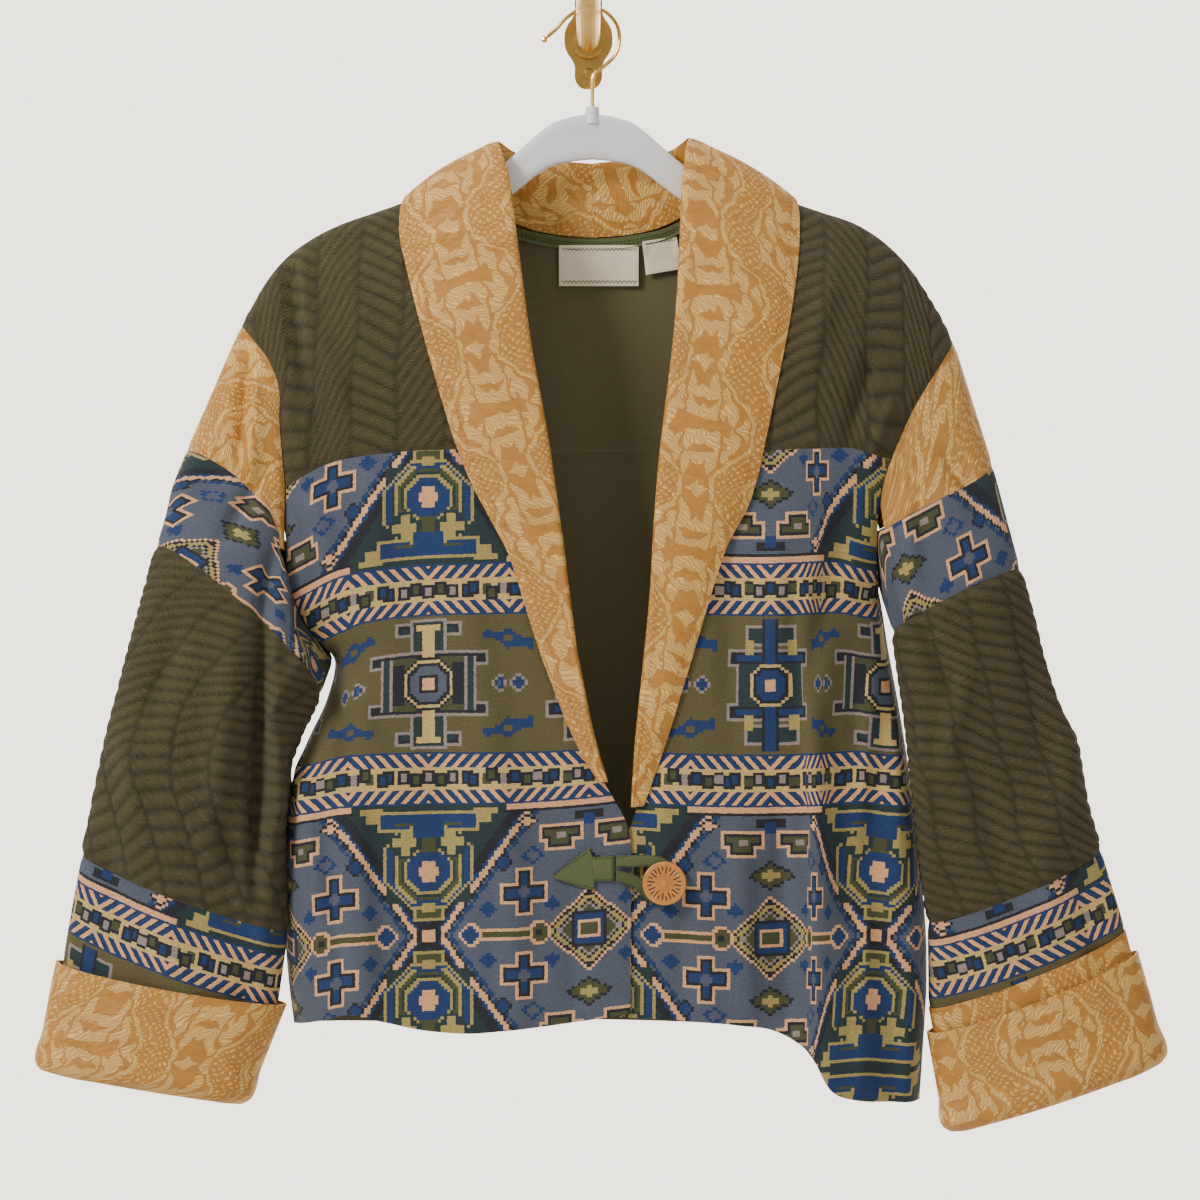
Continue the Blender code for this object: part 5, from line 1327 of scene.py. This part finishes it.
def evenly(line, spacing):
    """Places and directions at even steps along a line."""
    length = lengths_along(line)
    wanted = np.arange(spacing / 2, length[-1], spacing)
    ahead, behind = read_along(wanted + 0.5, length, line), read_along(wanted - 0.5, length, line)
    return read_along(wanted, length, line), ahead - behind + 1e-9


def nearest_on(line, places):
    """Index of the line's nearest point to each place."""
    return np.linalg.norm(line[None] - places[:, None], axis=2).argmin(axis=1)


def collar_stitches(name, grid, height):
    """Dotted stitching a little inside the collar's outer edge, following its surface."""
    normals = fine_normals(grid, False)
    top = grid + normals * height[..., None]
    across, _, _ = spans(grid, False)
    middle = len(grid) // 3
    edge_last = abs(grid[middle, -1, 0] - CENTRE_X) > abs(grid[middle, 0, 0] - CENTRE_X)
    from_edge = across[:, -1:] - across if edge_last else across
    rows = np.arange(len(grid))
    column = np.abs(from_edge - STITCH_INSET).argmin(axis=1)
    share = (from_edge[rows, column] - STITCH_INSET)[:, None]
    towards = np.gradient(top, axis=1)[rows, column]
    towards /= np.linalg.norm(towards, axis=1, keepdims=True)
    line = top[rows, column] + towards * share * (1 if edge_last else -1)
    places, alongs = evenly(line[4:-2], COLLAR_STITCH_PITCH)
    outs = normals[rows, column][nearest_on(line, places)]
    beads(name, "gold_thread", places, alongs, outs, 1.3, 0.4, 0.15)


def node_surface(node):
    """Reads y on the viewer's side of a CAD node, in millimetres."""
    mesh = node.data
    points = [node.matrix_world @ v.co / MM for v in mesh.vertices]
    tree = BVHTree.FromPolygons(points, [tuple(p.vertices) for p in mesh.polygons])

    def depth(x, z):
        found = tree.ray_cast(Vector((x, -400, z)), Vector((0, 1, 0)))[0]
        if found is None:
            found = tree.find_nearest(Vector((x, -60, z)))[0]
        return found.y

    return depth


def flat_strip(name, node, slot, rows, thick, bow, spacing):
    """A strip or label laid at the depth of its CAD node's viewer side."""
    depth = node_surface(node)
    coarse = np.array([[(x, depth(x, z), z) for x, z in row] for row in rows], float)
    grid, across, down, edge = measured_grid(coarse, False, spacing)
    height = bow * (1 - np.exp(-((edge / 3.0) ** 2))) - 0.25 * np.exp(-((edge / 0.8) ** 2))
    if fine_normals(grid, False)[..., 1].mean() > 0:
        grid, across, down, height = grid[:, ::-1], across[:, ::-1], down[:, ::-1], height[:, ::-1]
    normals = fine_normals(grid, False)
    outer = grid + normals * height[..., None]
    raised = np.clip(0.5 + height, 0, 1)
    made = shell(name, slot, outer, grid - normals * thick, False, across, down, raised)
    settle_sheet(made, slot, node.name, grid, False)
    return outer, normals


def corner_rows(corners):
    """Rows of points between four corners."""
    a, b, c, d = (np.array(p, float) for p in corners)
    return [
        [(1 - v) * ((1 - u) * a + u * b) + v * ((1 - u) * d + u * c) for u in np.linspace(0, 1, 7)]
        for v in np.linspace(0, 1, 5)
    ]


def zigzag(name, outer, normals, row, swing):
    """A row of zigzag stitches across a label."""
    line = outer[row]
    down = outer[row + 1] - line
    down /= np.linalg.norm(down, axis=1, keepdims=True)
    length = lengths_along(line)
    steps = np.arange(ZIGZAG_MARGIN, length[-1] - ZIGZAG_MARGIN, ZIGZAG_PITCH)
    turns = read_along(steps, length, line)
    turns += read_along(steps, length, down) * np.where(np.arange(len(steps)) % 2, swing, -swing)[:, None]
    alongs = np.diff(turns, axis=0)
    outs = [normals[row, int(np.abs(length - s).argmin())] for s in steps[:-1]]
    half = float(np.linalg.norm(alongs[0])) / 2
    beads(name, "olive_thread", (turns[:-1] + turns[1:]) / 2, alongs, outs, half, 0.3, 0.15)


def labels_and_tape(nodes):
    """Tape over the back neck seam and the two blank labels, each with its stitches."""
    tape_line = at_fractions(BACK_NECKLINE, np.linspace(0.2, 0.8, 25))
    tape_rows = [[(x, z - drop) for x, z in tape_line] for drop in (1.0, 3.0, 5.5, 8.0, 10.0)]
    tape = flat_strip("tape_cloth", nodes["neck_tape"], "twill", tape_rows, 0.8, 0.3, 2.0)
    beads_on(*tape, "tape_stitches", "olive_thread", (3, -4), 3.4, 1.0)
    main_rows, care_rows = corner_rows(MAIN_LABEL), corner_rows(CARE_LABEL)
    main = flat_strip("label_sewn", nodes["main_label"], "label_cloth", main_rows, 0.8, 0.25, 1.2)
    zigzag("label_stitches_top", *main, 3, 1.3)
    zigzag("label_stitches_low", *main, len(main[0]) - 4, 1.3)
    care = flat_strip("care_sewn", nodes["care_label"], "label_cloth", care_rows, 0.8, 0.3, 1.2)
    zigzag("care_stitches", *care, 2, 0.6)


def beads_on(outer, normals, name, slot, rows, spacing, half_length):
    """Straight stitches along some rows of a strip."""
    parts = []
    for row in rows:
        places, alongs = evenly(outer[row], spacing)
        parts.append((places, alongs, normals[row][nearest_on(outer[row], places)]))
    beads(name, slot, *(np.concatenate(part) for part in zip(*parts)), half_length, 0.4, 0.2)


def loop_and_tab(nodes):
    """The button loop with its pressed edges, and the pointed tab, both stitched."""
    path = smooth_curve(LOOP_PATH, 8)
    ahead = np.array([path[min(i + 1, len(path) - 1)] - path[max(i - 1, 0)] for i in range(len(path))])
    ahead[[0, -1], 1] = 0
    side = np.stack([-ahead[:, 1], ahead[:, 0]], axis=1) / np.linalg.norm(ahead, axis=1)[:, None]
    side *= LOOP_WIDTH / 2
    rows = [path + side * share for share in (-1, -0.62, -0.2, 0.2, 0.62, 1)]
    loop = flat_strip("loop_cloth", nodes["button_loop"], "twill", rows, 1.4, 0.35, 1.6)
    beads_on(*loop, "loop_stitches", "olive_thread", (1, -2), 3.2, 1.0)
    tip, high, neck_high, end_high, end_low, neck_low, low = TAB_OUTLINE
    along = np.linspace(0, 1, 21)
    top = at_fractions([tip, high, neck_high, end_high], along, smooth=False)[1:]
    bottom = at_fractions([tip, low, neck_low, end_low], along, smooth=False)[1:]
    rows = [top + (bottom - top) * (0.02 + 0.96 * v) for v in np.linspace(0, 1, 9)]
    tab = flat_strip("tab_cloth", nodes["loop_tab"], "twill", rows, 1.5, 0.4, 1.2)
    beads_on(*tab, "tab_stitches", "olive_thread", (2, -3), 3.0, 0.95)


def ring_at(x, y, z, radius, angles):
    """A ring in an upright plane that faces the viewer."""
    out = np.full(len(angles), y)
    return np.stack([x + radius * np.cos(angles), out, z + radius * np.sin(angles)], axis=-1)


def carved_button(node):
    """Turned wooden button: a domed middle with rings and two lengths of carved radial dashes."""
    low, high = (np.array(c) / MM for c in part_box(node.name))
    centre_x, centre_z = BUTTON_CENTRE
    face_y, back_y = low[1], high[1]
    rim = BUTTON_RADIUS - RIM_ROUND
    turned = rim + RIM_ROUND * np.sin(np.linspace(0.2, math.pi / 2, 8))
    angles = np.linspace(0, 2 * math.pi, 288, endpoint=False)
    r, a = np.meshgrid(np.concatenate([np.linspace(0.05, rim, 46), turned]), angles, indexing="ij")
    turn = np.clip((r - rim) / RIM_ROUND, 0, 1)
    sink = RIM_ROUND * (1 - np.sqrt(1 - turn**2)) + 0.35 + 0.5 * np.exp(-(((r - 9.5) / 5.0) ** 2))
    sink -= 0.75 * np.exp(-((r / 2.6) ** 2))
    for ring in BUTTON_RINGS:
        sink += 0.28 * np.exp(-(((r - ring) / 0.34) ** 2))
    place = a / (2 * math.pi) * BUTTON_SPOKES
    start = np.where(np.mod(np.floor(place), 2) > 0, 7.0, 9.6)
    away = np.abs(np.mod(place, 1) - 0.5) * 2 * math.pi * r / BUTTON_SPOKES
    taper = np.clip((r - start) / 1.2, 0, 1) * np.clip((14.2 - r) / 0.8, 0, 1)
    cut = np.clip((0.62 * (0.6 + 0.5 * taper) - away) / 0.25, 0, 1) * (taper > 0) * np.sqrt(taper)
    sink += DASH_DEPTH * cut
    inner_rings = [np.exp(-(((r - ring) / 0.3) ** 2)) for ring in BUTTON_RINGS[:2]]
    cut = np.maximum(cut, 0.5 * inner_rings[0] + 0.4 * inner_rings[1])
    front = np.stack([centre_x + r * np.cos(a), face_y + sink, centre_z + r * np.sin(a)], axis=-1)
    skirt = [(BUTTON_RADIUS, 2.55), (BUTTON_RADIUS - 0.1, 3.35), (BUTTON_RADIUS - 1.4, 3.95), (3.0, 4.05)]
    sides = [(radius, face_y + depth) for radius, depth in skirt] + [(3.0, back_y)]
    rows = np.stack([*front, *(ring_at(centre_x, y, centre_z, radius, angles) for radius, y in sides)])
    count, around = rows.shape[:2]
    faces = quads_of(count, around, True).reshape(-1, 4)[:, [0, 3, 2, 1]].tolist()
    ends = [tuple(range(around)), tuple(range((count - 1) * around, count * around))[::-1]]
    made = place_mesh("button_carved", "button_wood", rows.reshape(-1, 3), [*faces, *ends], BUTTON_SHARP)
    made.data.validate()
    values = made.data.attributes.new("cut", "FLOAT", "POINT")
    values.data.foreach_set("value", np.concatenate([cut.ravel(), np.zeros(len(sides) * around)]))
    settle(made, "button_wood", node.name)


def moulded_hanger():
    """Arched hanger with rounded sections, a soft rib along each face and its socket."""
    half = smooth_curve(HANGER_RIGHT, 9)
    stations = np.concatenate([half[:0:-1] * (-1, 1, 1, 1), half])
    corners = 36
    angle = np.linspace(0, 2 * math.pi, corners, endpoint=False)
    cosine, sine = np.cos(angle), np.sin(angle)
    across = np.copysign(np.abs(cosine) ** 0.6, cosine)
    up = np.copysign(np.abs(sine) ** 0.8, sine)
    rib = 1 - 0.16 * np.exp(-((up / 0.45) ** 2))
    arm = []
    for out, top, bottom, half_thick in stations:
        y, z = HANG_PLANE_Y + half_thick * across * rib, (top + bottom) / 2 + (top - bottom) / 2 * up
        arm.append(np.stack([np.full(corners, HANGER_X + out), y, z], axis=1))
    radius, top, bottom = HANGER_SOCKET
    profile = [
        (radius + 1.6, bottom - 2), (radius + 0.4, bottom + 3), (radius, bottom + 6),
        (radius, top - 1.2), (radius - 0.4, top - 0.4), (radius - 1.2, top),
        (WIRE_RADIUS + 0.3, top), (WIRE_RADIUS + 0.3, top - 6),
    ]
    socket = [
        np.stack([HANGER_X + r * cosine, HANG_PLANE_Y + r * sine, np.full(corners, z)], axis=1)
        for r, z in profile
    ]
    faces = []
    for base, rings in ((0, arm), (len(arm) * corners, socket)):
        faces.extend((quads_of(len(rings), corners, True).reshape(-1, 4) + base).tolist())
        last = base + (len(rings) - 1) * corners
        faces += [tuple(range(base + corners - 1, base - 1, -1)), tuple(range(last, last + corners))]
    points = np.concatenate([*arm, *socket])
    made = place_mesh("hanger_moulded", "hanger_plastic", points, faces)
    body = bmesh.new()
    body.from_mesh(made.data)
    bmesh.ops.recalc_face_normals(body, faces=body.faces)
    body.to_mesh(made.data)
    body.free()
    made.data.set_sharp_from_angle(angle=math.radians(HANGER_SHARP))
    settle(made, "hanger_plastic", "hanger")


STITCH_INSET = 9.5
COLLAR_STITCH_PITCH = 5.2
ZIGZAG_PITCH = 1.7
ZIGZAG_MARGIN = 1.5
BEAD_RINGS = ((-1, 0.25), (-0.55, 0.9), (0, 1), (0.55, 0.9), (1, 0.25))  # place along, thickness
BEAD_SECTION = ((1, 0), (0.3, 0.9), (-0.6, 0.5), (-0.6, -0.5), (0.3, -0.9))  # up, across
THREAD_SLOT = {"gold_thread": "damask", "olive_thread": "twill"}


def build_cloth():
    """Every large piece of cloth of the jacket. Returns the collars' grids."""
    yoke_right, body_right = front_panels(
        RIDGE_RIGHT, ARMHOLE_RIGHT_HIGH, ARMHOLE_RIGHT_LOW, SIDE_RIGHT, YOKE_SEAM_RIGHT,
        NECKLINE_RIGHT_HIGH, NECKLINE_RIGHT_LOW, FRONT_EDGE_RIGHT, HEM_RIGHT, False,
    )
    yoke_left, body_left = front_panels(
        RIDGE_LEFT, ARMHOLE_LEFT_HIGH, ARMHOLE_LEFT_LOW, SIDE_LEFT, YOKE_SEAM_LEFT,
        NECKLINE_LEFT_HIGH, NECKLINE_LEFT_LOW, FRONT_EDGE_LEFT, HEM_LEFT, True,
    )
    back_yoke, back_body = back_panels()
    panels = (
        ("front_yoke_right", "matelasse", yoke_right, -1), ("front_yoke_left", "matelasse", yoke_left, -1),
        ("front_body_right", "kilim", body_right, -1), ("front_body_left", "kilim", body_left, -1),
        ("back_yoke", "matelasse", back_yoke, 1), ("back_body", "kilim", back_body, 1),
    )
    for name, slot, grid, facing in panels:
        panel_piece(name, slot, oriented(grid, away_from_hanger), facing)
    sleeves = (
        ("right", SLEEVE_RIGHT, CAP_SEAM_RIGHT, yoke_right, body_right, 0),
        ("left", SLEEVE_LEFT, CAP_SEAM_LEFT, yoke_left, body_left, -1),
    )
    for side, table, seam, yoke, body, back_column in sleeves:
        ring = armhole_ring(yoke, body, back_yoke, back_body, back_column)
        for piece, (grid, closed, slot) in sleeve_pieces(side, table, seam, ring).items():
            outward = away_from_middle if closed else away_from_hanger
            sleeve_piece(f"{piece}_{side}", slot, oriented(grid, outward), closed, side, piece)
    first = len(ACROSS) - 1
    middle = first + BACK_NECK_COLUMNS // 2
    last = first + BACK_NECK_COLUMNS
    mid_right = collar_mid(
        (COLLAR_EDGE_RIGHT, COLLAR_BACK_EDGE_RIGHT, FRONT_ROLL_RIGHT, COLLAR_ROLL_RIGHT),
        yoke_right, body_right, back_yoke, slice(first, middle + 1), -1,
    )
    mid_left = collar_mid(
        (COLLAR_EDGE_LEFT, COLLAR_BACK_EDGE_LEFT, FRONT_ROLL_LEFT, COLLAR_ROLL_LEFT),
        yoke_left, body_left, back_yoke, slice(last, middle - 1, -1), 1,
    )
    return collar_piece("collar_right", mid_right, False), collar_piece("collar_left", mid_left, True)


def set_camera():
    data = bpy.data.cameras.new("view")
    data.lens = 120
    data.sensor_width = 36
    camera = bpy.data.objects.new("view", data)
    camera.location = (0.0095, -3.290, -0.4606)
    camera.rotation_euler = (math.pi / 2, 0, 0)
    bpy.context.collection.objects.link(camera)
    bpy.context.scene.camera = camera


def area_light(name, place, aim, size, power, colour):
    data = bpy.data.lights.new(name, "AREA")
    data.size = size
    data.energy = power
    data.color = colour
    light = bpy.data.objects.new(name, data)
    light.location = place
    light.rotation_euler = (Vector(aim) - Vector(place)).to_track_quat("-Z", "Y").to_euler()
    bpy.context.collection.objects.link(light)


FRONT_STRENGTH = 0.5
WALL_STRENGTH = 3.1
FLOOR_HALF = 3000.0
FLOOR_Z = -1850.0


def set_lights():
    """Pale world, brightest behind the jacket where the wall was, and soft lights from the left."""
    world = bpy.data.worlds.new("studio")
    world.use_nodes = True
    nodes, links = world.node_tree.nodes, world.node_tree.links
    background = nodes["Background"]
    background.inputs["Color"].default_value = (1.0, 0.93, 0.83, 1)
    place = nodes.new("ShaderNodeTexCoord")
    split = nodes.new("ShaderNodeSeparateXYZ")
    links.new(place.outputs["Generated"], split.inputs[0])
    ramp = nodes.new("ShaderNodeMapRange")
    ramp.interpolation_type = "SMOOTHSTEP"
    ends = {"From Min": 0.35, "From Max": 0.95, "To Min": FRONT_STRENGTH, "To Max": WALL_STRENGTH}
    for key, value in ends.items():
        ramp.inputs[key].default_value = value
    links.new(split.outputs[1], ramp.inputs["Value"])
    links.new(ramp.outputs["Result"], background.inputs["Strength"])
    bpy.context.scene.world = world
    aim = (0, 0, -0.45)
    area_light("key", (-2.1, -1.6, 1.1), aim, 0.8, 84, (1.0, 0.96, 0.90))
    area_light("fill", (1.9, -1.8, -0.2), aim, 1.8, 5, (0.95, 0.97, 1.0))
    area_light("top", (0.2, -0.5, 1.7), aim, 1.0, 14, (1.0, 0.98, 0.95))
    area_light("back", (0.5, 2.0, 0.4), aim, 1.6, 16, (1.0, 1.0, 1.0))


def floor():
    """A plain floor below the view, outside the model."""
    corners = [(x * FLOOR_HALF, y * FLOOR_HALF, FLOOR_Z) for x, y in ((-1, -1), (1, -1), (1, 1), (-1, 1))]
    place_mesh("floor", "floor", corners, [(0, 1, 2, 3)])


def main():
    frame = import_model()
    set_camera()
    set_lights()
    MATERIALS.update(
        matelasse=matelasse(), kilim=kilim(), damask=damask(), twill=twill("twill", linear(88, 98, 60)),
        crepe_inside=twill("crepe_inside", linear(104, 98, 68)), label_cloth=label_cloth(), brass=brass(),
        hanger_plastic=hanger_plastic(), button_wood=button_wood(), floor=floor_paint(),
        gold_thread=thread("gold_thread", linear(150, 104, 56)),
        olive_thread=thread("olive_thread", linear(38, 44, 24)),
    )
    nodes = frame["nodes"]
    for slot, names in NODES_OF.items():
        for name in names:
            for place in nodes[name].material_slots:
                place.material = MATERIALS[slot]
    for name, (grid, height) in zip(("stitches_right", "stitches_left"), build_cloth()):
        collar_stitches(name, grid, height)
    labels_and_tape(nodes)
    loop_and_tab(nodes)
    carved_button(nodes["button"])
    moulded_hanger()
    floor()

MATERIALS = {}
NODES_OF = {
    "hanger_plastic": ("hanger",), "button_wood": ("button",),
    "brass": ("hanger_hook", "wall_plate", "wall_peg", "plate_screw_low", "plate_screw_high"),
    "twill": ("loop_tab", "button_loop", "neck_tape"),
    "label_cloth": ("main_label", "care_label"),
}

main()
